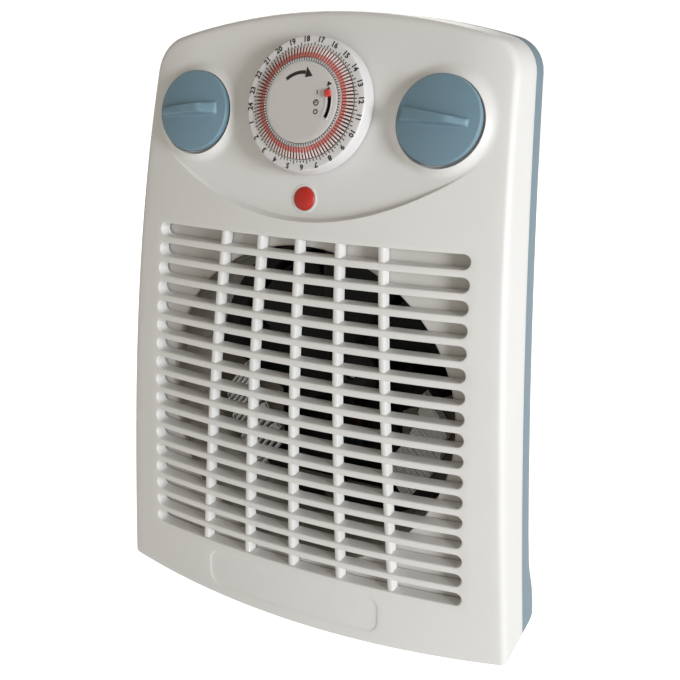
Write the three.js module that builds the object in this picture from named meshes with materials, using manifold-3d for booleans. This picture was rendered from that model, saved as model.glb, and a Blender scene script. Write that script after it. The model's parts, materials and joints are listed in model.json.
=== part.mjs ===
// Upright fan convector heater, millimetres.
// X to the right of the heater, the grille faces -Y, +Z up.
// Origin: on the floor, under the middle of the bounding box.
import * as THREE from "three";
import { mergeVertices } from "three/addons/utils/BufferGeometryUtils.js";
import Module from "manifold-3d";

const wasm = await Module();
wasm.setup();

// ---------------------------------------------------------------- dimensions
const FACE_BOW = 0.0008; // plan bow of the face, mm per mm squared
const LEAN_1 = 11.72; // lean-back profile of the face, per 150 mm of height
const LEAN_2 = 9.46;
const LEAN_3 = 2.8;
const Z_MID = 159; // height where the profile starts to lean back
const Y_SHIFT = -61; // face centre line relative to the middle of the depth
const HALF_W = 118.15; // half width at Z_MID, and its taper
const TAPER_1 = -9.99;
const TAPER_2 = 0.75;
const TOP_Z = 349.6; // top of the arch
const ARCH = 0.00145; // drop of the arch, mm per mm squared
const CORNER_R = 20; // top corners
const FOOT_R = 7; // bottom corners
const BOTTOM_Z = 4; // lowest point of the bowed bottom edge
const BOTTOM_RISE = 5; // rise of that edge towards the sides
const WALL = 2.6;
const SEAM_1 = 12.5; // seam between the two shells, same form as the lean
const SEAM_2 = 6;
const SEAM_0 = 46 + Y_SHIFT;
const GAP = 0.4; // seam gap
const BAND = 14; // straight band of the rear shell behind the seam
const BACK_Y = 66; // back panel
const SLOT_ROWS = 17;
const SLOT_PITCH = 11.48;
const SLOT_H = 8; // clear height of a slot
const SLOT_TOP = 234.1; // top edge of the first slot
const SLAT_DEPTH = 5.6;
const RIB_W = 4.2;
const RIB_BACK = 8; // how far behind the face the ribs reach
const FAN_Z = 137; // height of the fan axis
const DUCT_R = 92; // bore of the air duct
const DUCT_END = 6; // rear end of the duct
const FLANGE_SET = 8.6; // duct flange behind the face
const FAN_R = 79;
const SHAFT_R = 3;
const PANEL_SET = 6; // flat control panel, behind the middle of the face
const PANEL_HALF = 84;
const ARC_Z = 243.8; // lower edge of the panel, an arc
const ARC_BEND = 0.0036;
const KNOB_X = 73.2;
const KNOB_Z = 296.7;
const KNOB_R = 22.6;
const DIAL_Z = 301.4;
const DIAL_R = 36;
const LENS_Z = 254.8;
const LENS_R = 6.3;
const SWITCH_ARC = 17; // radius of the timer switch arc
const SWITCH_HALF = 20; // half travel of the timer switch, degrees
const CENTRE_FRONT = -12.9; // front of the timer centre, on top of the tappet cone
const CAP_Z = 170; // middle height for fanning the caps
const RAD = Math.PI / 180;

// ---------------------------------------------------------------- helpers
const group = new THREE.Group();
group.name = "fan_convector_heater";

const level = (z) => (z - Z_MID) / 150;
const faceY = (x, z) => {
  const s = level(z);
  return FACE_BOW * x * x + LEAN_1 * s + LEAN_2 * s * s + LEAN_3 * s * s * s + Y_SHIFT;
};
const arcLine = (x) => ARC_Z + ARC_BEND * x * x;
const panelY = (z) => faceY(0, z) + PANEL_SET;
const surfaceY = (x, z) => {
  const onPanel = z > arcLine(x) && Math.abs(x) < PANEL_HALF;
  return onPanel ? Math.max(faceY(x, z), panelY(z)) : faceY(x, z);
};
const seamY = (z) => SEAM_0 + SEAM_1 * level(z) + SEAM_2 * level(z) ** 2;
const halfW = (z) => HALF_W + TAPER_1 * level(z) + TAPER_2 * level(z) ** 2;
const archZ = (x) => TOP_Z - ARCH * x * x;
const bottomZ = (x) => BOTTOM_Z + BOTTOM_RISE * (x / 129) ** 2;

// Shared corners merged, and the faces turned outwards.
function closed(geometry) {
  const plain = geometry.index ? geometry.toNonIndexed() : geometry.clone();
  plain.deleteAttribute("normal");
  plain.deleteAttribute("uv");
  const g = mergeVertices(plain, 1e-4);
  const p = g.attributes.position;
  const index = Array.from(g.index.array);
  const corner = [new THREE.Vector3(), new THREE.Vector3(), new THREE.Vector3()];
  const kept = [];
  let volume = 0;
  for (let i = 0; i < index.length; i += 3) {
    const [a, b, c] = index.slice(i, i + 3);
    if (a === b || b === c || a === c) continue;
    kept.push([a, b, c]);
    [a, b, c].forEach((v, k) => corner[k].fromBufferAttribute(p, v));
    volume += corner[0].dot(corner[1].cross(corner[2]));
  }
  g.setIndex(kept.flatMap(([a, b, c]) => (volume < 0 ? [a, c, b] : [a, b, c])));
  g.computeVertexNormals();
  return g;
}

function finish(name, geometry, colour, roughness = 0.5, metalness = 0) {
  const mesh = new THREE.Mesh(
    closed(geometry),
    new THREE.MeshStandardMaterial({ color: colour, roughness, metalness })
  );
  mesh.name = name;
  group.add(mesh);
  return mesh;
}

function solid(geometry) {
  const g = closed(geometry);
  const vertProperties = new Float32Array(g.attributes.position.array);
  const triVerts = new Uint32Array(g.index.array);
  return new wasm.Manifold(new wasm.Mesh({ numProp: 3, vertProperties, triVerts }));
}

function geometryOf(manifold) {
  const m = manifold.getMesh();
  const g = new THREE.BufferGeometry();
  g.setAttribute("position", new THREE.BufferAttribute(new Float32Array(m.vertProperties), 3));
  g.setIndex(new THREE.BufferAttribute(new Uint32Array(m.triVerts), 1));
  g.computeVertexNormals();
  return g;
}

const join = (a, ...rest) => rest.reduce((s, b) => s.add(b), a);
const cut = (a, ...rest) => rest.reduce((s, b) => s.subtract(b), a);

function box(x0, x1, y0, y1, z0, z1) {
  const g = new THREE.BoxGeometry(x1 - x0, y1 - y0, z1 - z0);
  return g.translate((x0 + x1) / 2, (y0 + y1) / 2, (z0 + z1) / 2);
}

// A turned piece about the Y axis: profile points are [radius, y], front to back.
function turned(profile, segments = 32) {
  const points = profile.map(([r, y]) => new THREE.Vector2(r, y));
  return new THREE.LatheGeometry(points, segments);
}

function disc(r, y0, y1, segments = 32) {
  return turned([[0, y0], [r, y0], [r, y1], [0, y1]], segments);
}

function ring(r0, r1, y0, y1, segments = 32) {
  return turned([[r0, y0], [r1, y0], [r1, y1], [r0, y1], [r0, y0]], segments);
}

// A flat outline in X and Z pulled along Y.
function plate(points, y0, y1) {
  const shape = new THREE.Shape(points.map(([x, z]) => new THREE.Vector2(x, z)));
  const g = new THREE.ExtrudeGeometry(shape, { depth: y1 - y0, bevelEnabled: false });
  return g.rotateX(Math.PI / 2).translate(0, y1, 0);
}

// A closed skin over rings of equal length, with a middle point at each end.
function skin(rings, first, last) {
  const n = rings[0].length;
  const positions = [first, ...rings.flat(), last];
  const index = [];
  const at = (k, i) => 1 + k * n + (i % n);
  const end = positions.length - 1;
  for (let i = 0; i < n; i += 1) {
    index.push(0, at(0, i), at(0, i + 1));
    for (let k = 0; k + 1 < rings.length; k += 1) {
      index.push(at(k, i), at(k + 1, i), at(k + 1, i + 1));
      index.push(at(k, i), at(k + 1, i + 1), at(k, i + 1));
    }
    index.push(end, at(rings.length - 1, i + 1), at(rings.length - 1, i));
  }
  const g = new THREE.BufferGeometry();
  g.setAttribute("position", new THREE.BufferAttribute(new Float32Array(positions.flat()), 3));
  g.setIndex(index);
  return g;
}

// Outline of the body seen from the front, counter-clockwise.
// d is the inset of the top and sides, low the inset of the bottom edge.
function outline(d, low = d) {
  const half = [];
  const rb = Math.max(FOOT_R - low, 2);
  const xb = halfW(14) - d - rb;
  const zb = bottomZ(xb) + low + rb;
  for (const k of [0, 0.3, 0.6, 0.9]) half.push([xb * k, bottomZ(xb * k) + low]);
  for (const a of [-75, -40, -5]) {
    half.push([xb + rb * Math.cos(a * RAD), zb + rb * Math.sin(a * RAD)]);
  }
  for (const z of [45, 85, 125, 165, 205, 245, 275]) half.push([halfW(z) - d, z]);
  const rt = Math.max(CORNER_R - d, 3);
  let zt = 305;
  let xt = 80;
  for (let i = 0; i < 6; i += 1) {
    xt = halfW(zt) - d - rt;
    zt = archZ(xt + 0.25 * rt) - d - 0.97 * rt;
  }
  for (const a of [3, 27, 51, 75]) {
    half.push([xt + rt * Math.cos(a * RAD), zt + rt * Math.sin(a * RAD)]);
  }
  for (const k of [0.84, 0.56, 0.28, 0]) half.push([xt * k, archZ(xt * k) - d]);
  const mirrored = half.slice(1, -1).reverse().map(([x, z]) => [-x, z]);
  return [...half, ...mirrored];
}

const scaled = (points, k) => points.map(([x, z]) => [x * k, CAP_Z + (z - CAP_Z) * k]);
const lift = (points, y) => points.map(([x, z]) => [x, y(x, z), z]);
const flat = (value) => () => value;

// Local frame on the face: Y points into the body, along the face normal.
function faceFrame(x, z) {
  const e = 0.5;
  const fx = (surfaceY(x + e, z) - surfaceY(x - e, z)) / (2 * e);
  const fz = (surfaceY(x, z + e) - surfaceY(x, z - e)) / (2 * e);
  const ey = new THREE.Vector3(-fx, 1, -fz).normalize();
  const ex = new THREE.Vector3(1, fx, 0);
  ex.addScaledVector(ey, -ex.dot(ey)).normalize();
  const ez = new THREE.Vector3().crossVectors(ex, ey);
  return new THREE.Matrix4().makeBasis(ex, ey, ez).setPosition(x, surfaceY(x, z), z);
}

const at = (geometry, matrix) => geometry.applyMatrix4(matrix);
const knobLeft = faceFrame(-KNOB_X, KNOB_Z);
const knobRight = faceFrame(KNOB_X, KNOB_Z);
const dialFrame = faceFrame(0, DIAL_Z);
const lensFrame = faceFrame(0, LENS_Z);
const fanFrame = new THREE.Matrix4().makeTranslation(0, 0, FAN_Z);

// ---------------------------------------------------------------- front shell
const rimFront = outline(3.5);
const rimMid = outline(1);
const rimSide = outline(0);
const frontBody = solid(
  skin(
    [
      ...[0.25, 0.5, 0.75, 1].map((k) => lift(scaled(rimFront, k), faceY)),
      lift(rimMid, (x, z) => faceY(x, z) + 1),
      lift(rimSide, (x, z) => faceY(x, z) + 3.5),
      lift(rimSide, (x, z) => seamY(z) - GAP / 2),
      lift(scaled(rimSide, 0.5), (x, z) => seamY(z) - GAP / 2),
    ],
    [0, faceY(0, CAP_Z), CAP_Z],
    [0, seamY(CAP_Z) - GAP / 2, CAP_Z]
  )
);
const rimInner = outline(WALL);
const rimInnerFront = outline(WALL + 2);
const frontHollow = solid(
  skin(
    [
      ...[0.33, 0.67, 1].map((k) =>
        lift(scaled(rimInnerFront, k), (x, z) => faceY(x, z) + WALL)
      ),
      lift(rimInner, (x, z) => faceY(x, z) + WALL + 2),
      lift(rimInner, flat(60)),
      lift(scaled(rimInner, 0.5), flat(60)),
    ],
    [0, faceY(0, CAP_Z) + WALL, CAP_Z],
    [0, 60, CAP_Z]
  )
);

// Block over the control panel, from one surface to another.
function panelBlock(half, low, front, back) {
  const n = 16;
  const m = 8;
  const positions = [];
  for (const y of [front, back]) {
    for (let i = 0; i <= n; i += 1) {
      const x = half * (-1 + (2 * i) / n);
      const z0 = arcLine(x) + low;
      for (let j = 0; j <= m; j += 1) {
        const z = z0 + ((356 - z0) * j) / m;
        positions.push([x, y(x, z), z]);
      }
    }
  }
  const id = (k, i, j) => k * (n + 1) * (m + 1) + i * (m + 1) + j;
  const index = [];
  const quad = (a, b, c, d) => index.push(a, b, c, a, c, d);
  for (let i = 0; i < n; i += 1) {
    for (let j = 0; j < m; j += 1) {
      quad(id(0, i, j), id(0, i + 1, j), id(0, i + 1, j + 1), id(0, i, j + 1));
      quad(id(1, i, j), id(1, i, j + 1), id(1, i + 1, j + 1), id(1, i + 1, j));
    }
    quad(id(0, i + 1, 0), id(0, i, 0), id(1, i, 0), id(1, i + 1, 0));
    quad(id(0, i, m), id(0, i + 1, m), id(1, i + 1, m), id(1, i, m));
  }
  for (let j = 0; j < m; j += 1) {
    quad(id(0, 0, j), id(0, 0, j + 1), id(1, 0, j + 1), id(1, 0, j));
    quad(id(0, n, j + 1), id(0, n, j), id(1, n, j), id(1, n, j + 1));
  }
  const g = new THREE.BufferGeometry();
  g.setAttribute("position", new THREE.BufferAttribute(new Float32Array(positions.flat()), 3));
  g.setIndex(index);
  return solid(g);
}
const panelPad = panelBlock(PANEL_HALF + 3, -3, (x, z) => faceY(x, z) + 1.2, (x, z) =>
  Math.max(panelY(z) + WALL, faceY(x, z) + 2.2)
).intersect(frontBody);
const panelCut = panelBlock(PANEL_HALF, 0, () => -110, (x, z) => panelY(z));

const slotEnd = (z) => 98.3 - 6 * level(z);

// Thick field that carries the slats.
function grilleField(inset, front, back) {
  const points = [];
  const z0 = SLOT_TOP - (SLOT_ROWS - 1) * SLOT_PITCH - SLOT_H - 4 + inset;
  const z1 = SLOT_TOP + 4 - inset;
  const n = 6;
  for (let i = 0; i <= n; i += 1) {
    const t = -1 + (2 * i) / n;
    points.push([t * (slotEnd(z0) + 4 - inset), z0]);
  }
  for (let i = 1; i <= n; i += 1) {
    const z = z0 + ((z1 - z0) * i) / n;
    points.push([slotEnd(z) + 4 - inset, z]);
  }
  for (let i = 1; i <= n; i += 1) {
    const t = 1 - (2 * i) / n;
    points.push([t * (slotEnd(z1) + 4 - inset), z1]);
  }
  for (let i = 1; i < n; i += 1) {
    const z = z1 - ((z1 - z0) * i) / n;
    points.push([-slotEnd(z) - 4 + inset, z]);
  }
  const centre = FAN_Z;
  const shrink = (k) => points.map(([x, z]) => [x * k, centre + (z - centre) * k]);
  return skin(
    [
      ...[0.35, 0.7, 1].map((k) => lift(shrink(k), front)),
      ...[1, 0.7, 0.35].map((k) => lift(shrink(k), back)),
    ],
    [0, front(0, centre), centre],
    [0, back(0, centre), centre]
  );
}

// The window behind the slats, its sides following the slot ends.
const WINDOW_LOW = SLOT_TOP - (SLOT_ROWS - 1) * SLOT_PITCH - SLOT_H;
const windowSolid = solid(
  plate(
    [
      [-slotEnd(WINDOW_LOW), WINDOW_LOW], [slotEnd(WINDOW_LOW), WINDOW_LOW],
      [slotEnd(SLOT_TOP), SLOT_TOP], [-slotEnd(SLOT_TOP), SLOT_TOP],
    ],
    -75,
    -30
  )
);

// One slat, bowed like the face and running into it at both ends.
function slat(row) {
  const z1 = SLOT_TOP - row * SLOT_PITCH - SLOT_H;
  const z0 = z1 - (SLOT_PITCH - SLOT_H);
  const end = slotEnd(z0) + 3;
  const rings = [];
  for (const k of [-1, -0.6, -0.2, 0.2, 0.6, 1]) {
    const x = k * end;
    rings.push([
      [x, faceY(x, z0) + 0.15, z0],
      [x, faceY(x, z0) + SLAT_DEPTH, z0],
      [x, faceY(x, z1) + SLAT_DEPTH, z1],
      [x, faceY(x, z1) + 0.15, z1],
    ]);
  }
  const middle = (r) => [r[0][0], (r[0][1] + r[2][1]) / 2, (z0 + z1) / 2];
  return solid(skin(rings, middle(rings[0]), middle(rings[5])));
}

// A vertical rib that splays outwards towards the bottom.
function rib(side, wide) {
  const rings = [];
  const z0 = 38;
  const z1 = 238;
  const heights = [0, 0.33, 0.67, 1].map((t) => z0 + (z1 - z0) * t);
  for (const z of heights) {
    const s = level(z);
    const x = side * (wide ? 53.9 - 11.16 * s : 26.64 - 5.5 * s);
    const y = faceY(x, z);
    rings.push([
      [x - RIB_W / 2, y + 1.2, z],
      [x - RIB_W / 2, y + RIB_BACK, z],
      [x + RIB_W / 2, y + RIB_BACK, z],
      [x + RIB_W / 2, y + 1.2, z],
    ]);
  }
  const middle = (r) => [
    (r[0][0] + r[2][0]) / 2, (r[0][1] + r[2][1]) / 2, r[0][2],
  ];
  const g = skin(rings, middle(rings[0]), middle(rings[rings.length - 1]));
  return solid(g);
}

const collar = [[23.8, 3.6], [23.8, -2.8], [25.2, -3.2], [31, 0.4], [31, 3.6], [23.8, 3.6]];
const posts = [
  [-42, 306], [42, 306], [-84, 48], [84, 48],
];
const postSolid = ([x, z]) =>
  cut(
    solid(disc(4.6, surfaceY(x, z) + 1.5, 62.6, 12).translate(x, 0, z)),
    solid(disc(2.3, 30, 70, 12).translate(x, 0, z))
  );

let front = cut(frontBody, frontHollow);
front = front.add(panelPad).subtract(panelCut).subtract(windowSolid);
for (let row = 0; row + 1 < SLOT_ROWS; row += 1) front = front.add(slat(row));
front = join(front, rib(0, false), rib(-1, false), rib(1, false), rib(-1, true), rib(1, true));
front = join(
  front,
  solid(at(turned(collar), knobLeft)),
  solid(at(turned(collar), knobRight)),
  ...posts.map(postSolid)
);
front = cut(
  front,
  solid(at(disc(5.4, -8, 10, 16), knobLeft)),
  solid(at(disc(5.4, -8, 10, 16), knobRight)),
  solid(at(disc(28.4, -8, 12), dialFrame)),
  solid(at(disc(LENS_R + 0.4, -8, 12, 20), lensFrame))
);
finish("front_shell", geometryOf(front), 0xe6e2dd, 0.45);

// ---------------------------------------------------------------- rear shell
const FLARE = 7; // extra depth of the straight band at the rear feet
const flare = (z) => FLARE * Math.min(Math.max((50 - z) / 24, 0), 1);
const deep = (extra) => (x, z) => seamY(z) + extra;
function rearRings(t) {
  const rims = [0, 0.6, 6, 16, 26, 30].map((d) => outline(d + t, 0.15 * d + t));
  return [
    lift(scaled(rims[0], 0.5), deep(t > 0 ? -6 : GAP / 2)),
    lift(rims[0], deep(t > 0 ? -6 : GAP / 2)),
    lift(rims[1], (x, z) => seamY(z) + BAND + flare(z) - t * 0.3),
    lift(rims[2], (x, z) => seamY(z) + BAND + 9 + flare(z) - t * 0.6),
    lift(rims[3], (x, z) => 47 - t + 3 * level(z)),
    lift(rims[4], flat(62.5 - t)),
    lift(rims[5], flat(BACK_Y - t)),
    lift(scaled(rims[5], 0.5), flat(BACK_Y - t)),
  ];
}
const backBody = solid(
  skin(rearRings(0), [0, seamY(CAP_Z) + GAP / 2, CAP_Z], [0, BACK_Y, CAP_Z])
);
const backHollow = solid(
  skin(rearRings(WALL), [0, seamY(CAP_Z) - 6, CAP_Z], [0, BACK_Y - WALL, CAP_Z])
);
let rear = cut(backBody, backHollow);
for (let i = -5; i <= 5; i += 1) {
  rear = rear.subtract(solid(box(i * 13 - 3.5, i * 13 + 3.5, 55, 75, 78, 196)));
}
const CABLE = [-60, 56];
for (const [x, z] of posts) {
  rear = rear.subtract(solid(disc(2.4, 50, 75, 12).translate(x, 0, z)));
  rear = rear.subtract(solid(disc(4, BACK_Y - 1.8, 75, 12).translate(x, 0, z)));
}
rear = rear.subtract(solid(disc(6.4, 50, 75, 16).translate(CABLE[0], 0, CABLE[1])));
finish("rear_shell", geometryOf(rear), 0x94a8b4, 0.45);

["screw_top_left", "screw_top_right", "screw_bottom_left", "screw_bottom_right"].forEach(
  (name, i) => {
    const [x, z] = posts[i];
    const profile = [
      [0, 36], [2, 36], [2, BACK_Y - 1.5], [3.6, BACK_Y - 1.5], [3.6, BACK_Y - 0.6],
      [2.8, BACK_Y - 0.2], [0, BACK_Y - 0.2],
    ];
    finish(name, turned(profile, 12).translate(x, 0, z), 0x8d8f92, 0.35, 1);
  }
);

const gland = [
  [3.4, BACK_Y - 5], [8, BACK_Y - 5], [8, BACK_Y - WALL - 0.3], [6.1, BACK_Y - WALL - 0.3],
  [6.1, BACK_Y - 1], [4.6, BACK_Y - 0.1], [3.4, BACK_Y - 0.1], [3.4, BACK_Y - 5],
];
finish("cable_gland", turned(gland, 16).translate(CABLE[0], 0, CABLE[1]), 0x2b2c2e, 0.7);

// ---------------------------------------------------------------- feet
const FEET = {
  foot_front_left: [-88, -34], foot_front_right: [88, -34],
  foot_rear_left: [-84, 34], foot_rear_right: [84, 34],
};
for (const [name, [x, y]] of Object.entries(FEET)) {
  const inset = y > 0 ? 7.4 : 5.6;
  const profile = [[0, 0], [7.4, 0], [8.4, 1], [8.4, inset], [0, inset]];
  finish(name, turned(profile, 20).rotateX(Math.PI / 2).translate(x, y, 0), 0x3a3b3d, 0.9);
}

// ---------------------------------------------------------------- air duct
const flangeFront = (x, z) => faceY(x, z) + FLANGE_SET;
let duct = solid(grilleField(-1, flangeFront, (x, z) => faceY(x, z) + FLANGE_SET + 1.8));
duct = duct.add(solid(at(disc(DUCT_R + 1.8, -68, DUCT_END, 40), fanFrame)));
duct = duct.subtract(solid(at(disc(DUCT_R, -90, 20, 40), fanFrame)));
duct = duct.subtract(solid(grilleField(-12, () => -95, (x, z) => flangeFront(x, z) + 0.01)));
for (const [x, z] of posts.slice(2)) {
  duct = duct.subtract(solid(disc(6, -90, 30, 12).translate(x, 0, z)));
}
finish("air_duct", geometryOf(duct), 0xcbc3b4, 0.6);

// ---------------------------------------------------------------- fan shroud
const arms = [45, 135, 225, 315].map((a) =>
  solid(box(16, 83, 31, 34, -4, 4).rotateY(a * RAD))
);
const shroud = join(
  solid(ring(82, DUCT_R + 1.8, DUCT_END + 0.4, DUCT_END + 2.4, 40)),
  solid(ring(82, 84, DUCT_END + 0.4, 34, 40)),
  solid(ring(8, 22, 31, 34, 24)),
  ...arms
);
finish("fan_shroud", at(geometryOf(shroud), fanFrame), 0x1d1d1f, 0.6);

// ---------------------------------------------------------------- fan and motor
const BLADES = 7;
function blade(angle) {
  const rings = [];
  for (const [r, chord, pitch] of [[15, 22, 42], [45, 30, 32], [FAN_R, 36, 25]]) {
    const c = Math.cos(pitch * RAD) * chord * 0.5;
    const s = Math.sin(pitch * RAD) * chord * 0.5;
    rings.push([[-c, -s - 0.8, r], [c, s - 0.8, r], [c, s + 0.8, r], [-c, -s + 0.8, r]]);
  }
  const g = skin(rings, [0, 0, 15], [0, 0, FAN_R]);
  return solid(g.rotateY(angle * RAD).translate(0, 19.5, 0));
}
const blades = [];
for (let i = 0; i < BLADES; i += 1) blades.push(blade((360 * i) / BLADES));
const hub = solid(turned([[0, 11], [12, 11], [18, 15], [18, 28], [0, 28]], 24));
const impeller = cut(join(hub, ...blades), solid(disc(SHAFT_R + 0.3, 13, 40, 16)));
finish("fan_impeller", at(geometryOf(impeller), fanFrame), 0x17171a, 0.5);
finish("fan_shaft", at(disc(SHAFT_R, 13.4, 59.6, 16), fanFrame), 0xa9adb2, 0.25, 1);

const rotor = ring(SHAFT_R + 0.3, 12.6, 38.6, 54.4, 24);
finish("motor_rotor", at(rotor, fanFrame), 0x77797d, 0.4, 1);
const stack = cut(
  solid(box(-30, 30, 39, 54, -40, 22)),
  solid(disc(13.2, 30, 60, 24)),
  solid(box(-16, 16, 30, 60, -31, -19))
);
finish("motor_stator", at(geometryOf(stack), fanFrame), 0x8a8c90, 0.4, 1);
const coilBody = cut(
  solid(box(-15, 15, 34.4, 58.6, -48.6, -19.4)),
  solid(box(-40, 40, 38.7, 54.3, -40.3, -30.7))
);
finish("motor_winding", at(geometryOf(coilBody), fanFrame), 0xa65b2a, 0.4, 0.3);
const bearing = [
  [SHAFT_R + 0.3, 34.4], [9, 34.4], [9, 37], [6, 38.2], [SHAFT_R + 0.3, 38.2],
  [SHAFT_R + 0.3, 34.4],
];
finish("motor_bearing_front", at(turned(bearing, 20), fanFrame), 0xb08d4a, 0.35, 1);
const bearingRear = ring(SHAFT_R + 0.3, 9, 54.8, 58.4, 20);
finish("motor_bearing_rear", at(bearingRear, fanFrame), 0xb08d4a, 0.35, 1);

// ---------------------------------------------------------------- heater
// Insulating boards in the lower part of the duct, one on each side.
const BOARD = [[42, -12], [87, 11], [89.4, -10], [83, -34], [70, -55], [42, -50]];
function board(side) {
  const points = BOARD.map(([x, z]) => [side * x, z]);
  return plate(side > 0 ? points.reverse() : points, -1.5, 0);
}
finish("mica_board_left", at(board(-1), fanFrame), 0xb8aa8c, 0.7);
finish("mica_board_right", at(board(1), fanFrame), 0xb8aa8c, 0.7);

// Resistance ribbon folded in a zigzag in front of its board.
function ribbon(side) {
  const folds = 15;
  const line = [];
  for (let i = 0; i <= folds; i += 1) {
    const x = 45 + (37 * i) / folds;
    const low = -Math.min(42, Math.sqrt(84 * 84 - x * x) - 7);
    line.push([side * x, i % 2 ? low : -8 + 0.5 * (x - 45)]);
  }
  const upper = line.map(([x, z]) => [x, z + 4]);
  const lower = line.map(([x, z]) => [x, z - 4]).reverse();
  return plate([...upper, ...lower], -17, -5);
}
finish("heating_ribbon_left", at(ribbon(-1), fanFrame), 0xb9bcc0, 0.3, 1);
finish("heating_ribbon_right", at(ribbon(1), fanFrame), 0xb9bcc0, 0.3, 1);

// Overheat cut-out on its own strap across the bottom of the duct.
finish("cutout_strap", box(-34, 34, -1.5, 0, FAN_Z - 76, FAN_Z - 66), 0xb8aa8c, 0.7);
finish(
  "thermal_cutout",
  disc(7, -10, -1.8, 20).translate(0, 0, FAN_Z - 71),
  0x2a2522,
  0.5
);

// ---------------------------------------------------------------- rotary controls
function knob() {
  const cap = solid(
    turned([[0, -1.2], [21.6, -1.2], [KNOB_R, -2], [KNOB_R, -5.6], [21.4, -6.8],
      [14, -8.4], [0, -9]])
  );
  const grip = solid(box(-19, 19, -12.6, -4, -3.4, 3.4));
  const round = solid(disc(20.4, -14, 0));
  return cut(join(cap, grip.intersect(round)), solid(disc(SHAFT_R + 0.3, -4, 4, 16)));
}
const CONTROLS = {
  selector: [knobLeft, 16],
  thermostat: [knobRight, 14],
};
for (const [name, [frame, half]] of Object.entries(CONTROLS)) {
  finish(`${name}_knob`, at(geometryOf(knob()), frame), 0x6c8494, 0.35);
  const shaft = cut(solid(disc(SHAFT_R, -3.7, 5.6, 16)), solid(box(1.8, 5, -9, 3, -5, 5)));
  finish(`${name}_shaft`, at(geometryOf(shaft), frame), 0xd8d4cc, 0.4);
  const body = join(
    solid(box(-half, half, 6, 26, -18, 18)),
    solid(ring(SHAFT_R + 0.3, 6, 3.4, 6.2, 16))
  );
  finish(`${name}_switch`, at(geometryOf(body), frame), name === "selector" ? 0x2c2c2e : 0xc9b48a);
}

// ---------------------------------------------------------------- day timer
const SKIRT_R = 27.5; // gear skirt behind the dial
const PINION_R = SKIRT_R / 7;
const dialProfile = [
  [21.4, -3], [25, -3], [25, 6.6], [SKIRT_R, 6.6], [SKIRT_R, -0.6], [DIAL_R, -0.6],
  [DIAL_R, -2.2], [35.2, -8.8], [34.6, -9.4], [29.2, -9.4], [22.6, -11.6], [21.4, -11.6],
  [21.4, -3],
];
finish("timer_dial", at(turned(dialProfile, 40), dialFrame), 0xe4e1dd, 0.4);

// The tappets stand side by side on the cone of the dial, and are one ring here.
const tappetProfile = [
  [28.8, -9.9], [28.6, -10.6], [23.4, -12.5], [23, -12.4], [23, -11.8], [28.8, -9.9],
];
finish("timer_tappets", at(turned(tappetProfile, 48), dialFrame), 0xb33a34, 0.5);

// Sector of a ring in the dial plane, from one angle to another.
function sector(r0, r1, y0, y1, from, to, steps) {
  const outer = [];
  const inner = [];
  for (let i = 0; i <= steps; i += 1) {
    const a = (from + ((to - from) * i) / steps) * RAD;
    outer.push([r1 * Math.cos(a), r1 * Math.sin(a)]);
    inner.push([r0 * Math.cos(a), r0 * Math.sin(a)]);
  }
  return plate([...outer, ...inner.reverse()], y0, y1);
}
const centre = cut(
  solid(disc(20.9, CENTRE_FRONT, CENTRE_FRONT + 1.6, 40)),
  solid(sector(SWITCH_ARC - 1.5, SWITCH_ARC + 1.5, -15, 0, -26, 26, 8))
);
finish("timer_centre", at(geometryOf(centre), dialFrame), 0xd9d6d2, 0.4);
const arm = join(
  solid(ring(4.3, 8, -10.4, -9, 24)),
  solid(box(7.4, SWITCH_ARC + 1.2, -10.4, -9, -1.3, 1.3)),
  solid(box(SWITCH_ARC - 1.1, SWITCH_ARC + 1.1, -14.8, -9.6, -1.4, 1.4))
);
const armAtRest = geometryOf(arm).rotateY(-SWITCH_HALF * RAD);
finish("timer_switch", at(armAtRest, dialFrame), 0xc2392f, 0.4);
const timerBody = join(
  solid(disc(4, -10.9, 0, 24)),
  solid(disc(20.6, -8.4, 9, 32)),
  solid(box(-31, 31, 8, 30, -31, 31))
);
finish("timer_body", at(geometryOf(timerBody), dialFrame), 0xd8d4cc, 0.5);
const pinionAt = -(SKIRT_R + PINION_R + 0.35);
const pinion = join(
  solid(disc(PINION_R, 4.8, 6.8, 20)),
  solid(disc(1.2, 6.4, 7.7, 12))
);
finish(
  "timer_pinion",
  at(geometryOf(pinion).translate(0, 0, pinionAt), dialFrame),
  0xe8e4da,
  0.4
);

// ---------------------------------------------------------------- pilot lamp
const lensProfile = [
  [0, -1.9], [3.4, -1.6], [5.4, -0.9], [LENS_R, 0.1], [LENS_R, 4], [0, 4],
];
finish("pilot_lens", at(turned(lensProfile, 24), lensFrame), 0xb42820, 0.2);
finish("pilot_lamp", at(disc(5, 4.3, 12, 20), lensFrame), 0xe9d9b8, 0.3);

// ---------------------------------------------------------------- wiring
finish("terminal_block", box(-20, 20, 50, BACK_Y - WALL - 0.3, 222, 238), 0xe8e6e0, 0.5);

// ---------------------------------------------------------------- intake filter
finish("dust_filter", box(-74, 74, BACK_Y - WALL - 1.9, BACK_Y - WALL - 0.3, 72, 202), 0x161618, 0.95);

export default group;
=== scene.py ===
"""Looks of an upright fan convector heater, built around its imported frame.

Millimetres while shaping, metres in the scene. The grille faces -Y and Z is up.
"""

import json
import math
from functools import partial

import bmesh
import bpy
from mathutils import Matrix, Vector
from mathutils.geometry import delaunay_2d_cdt


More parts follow.
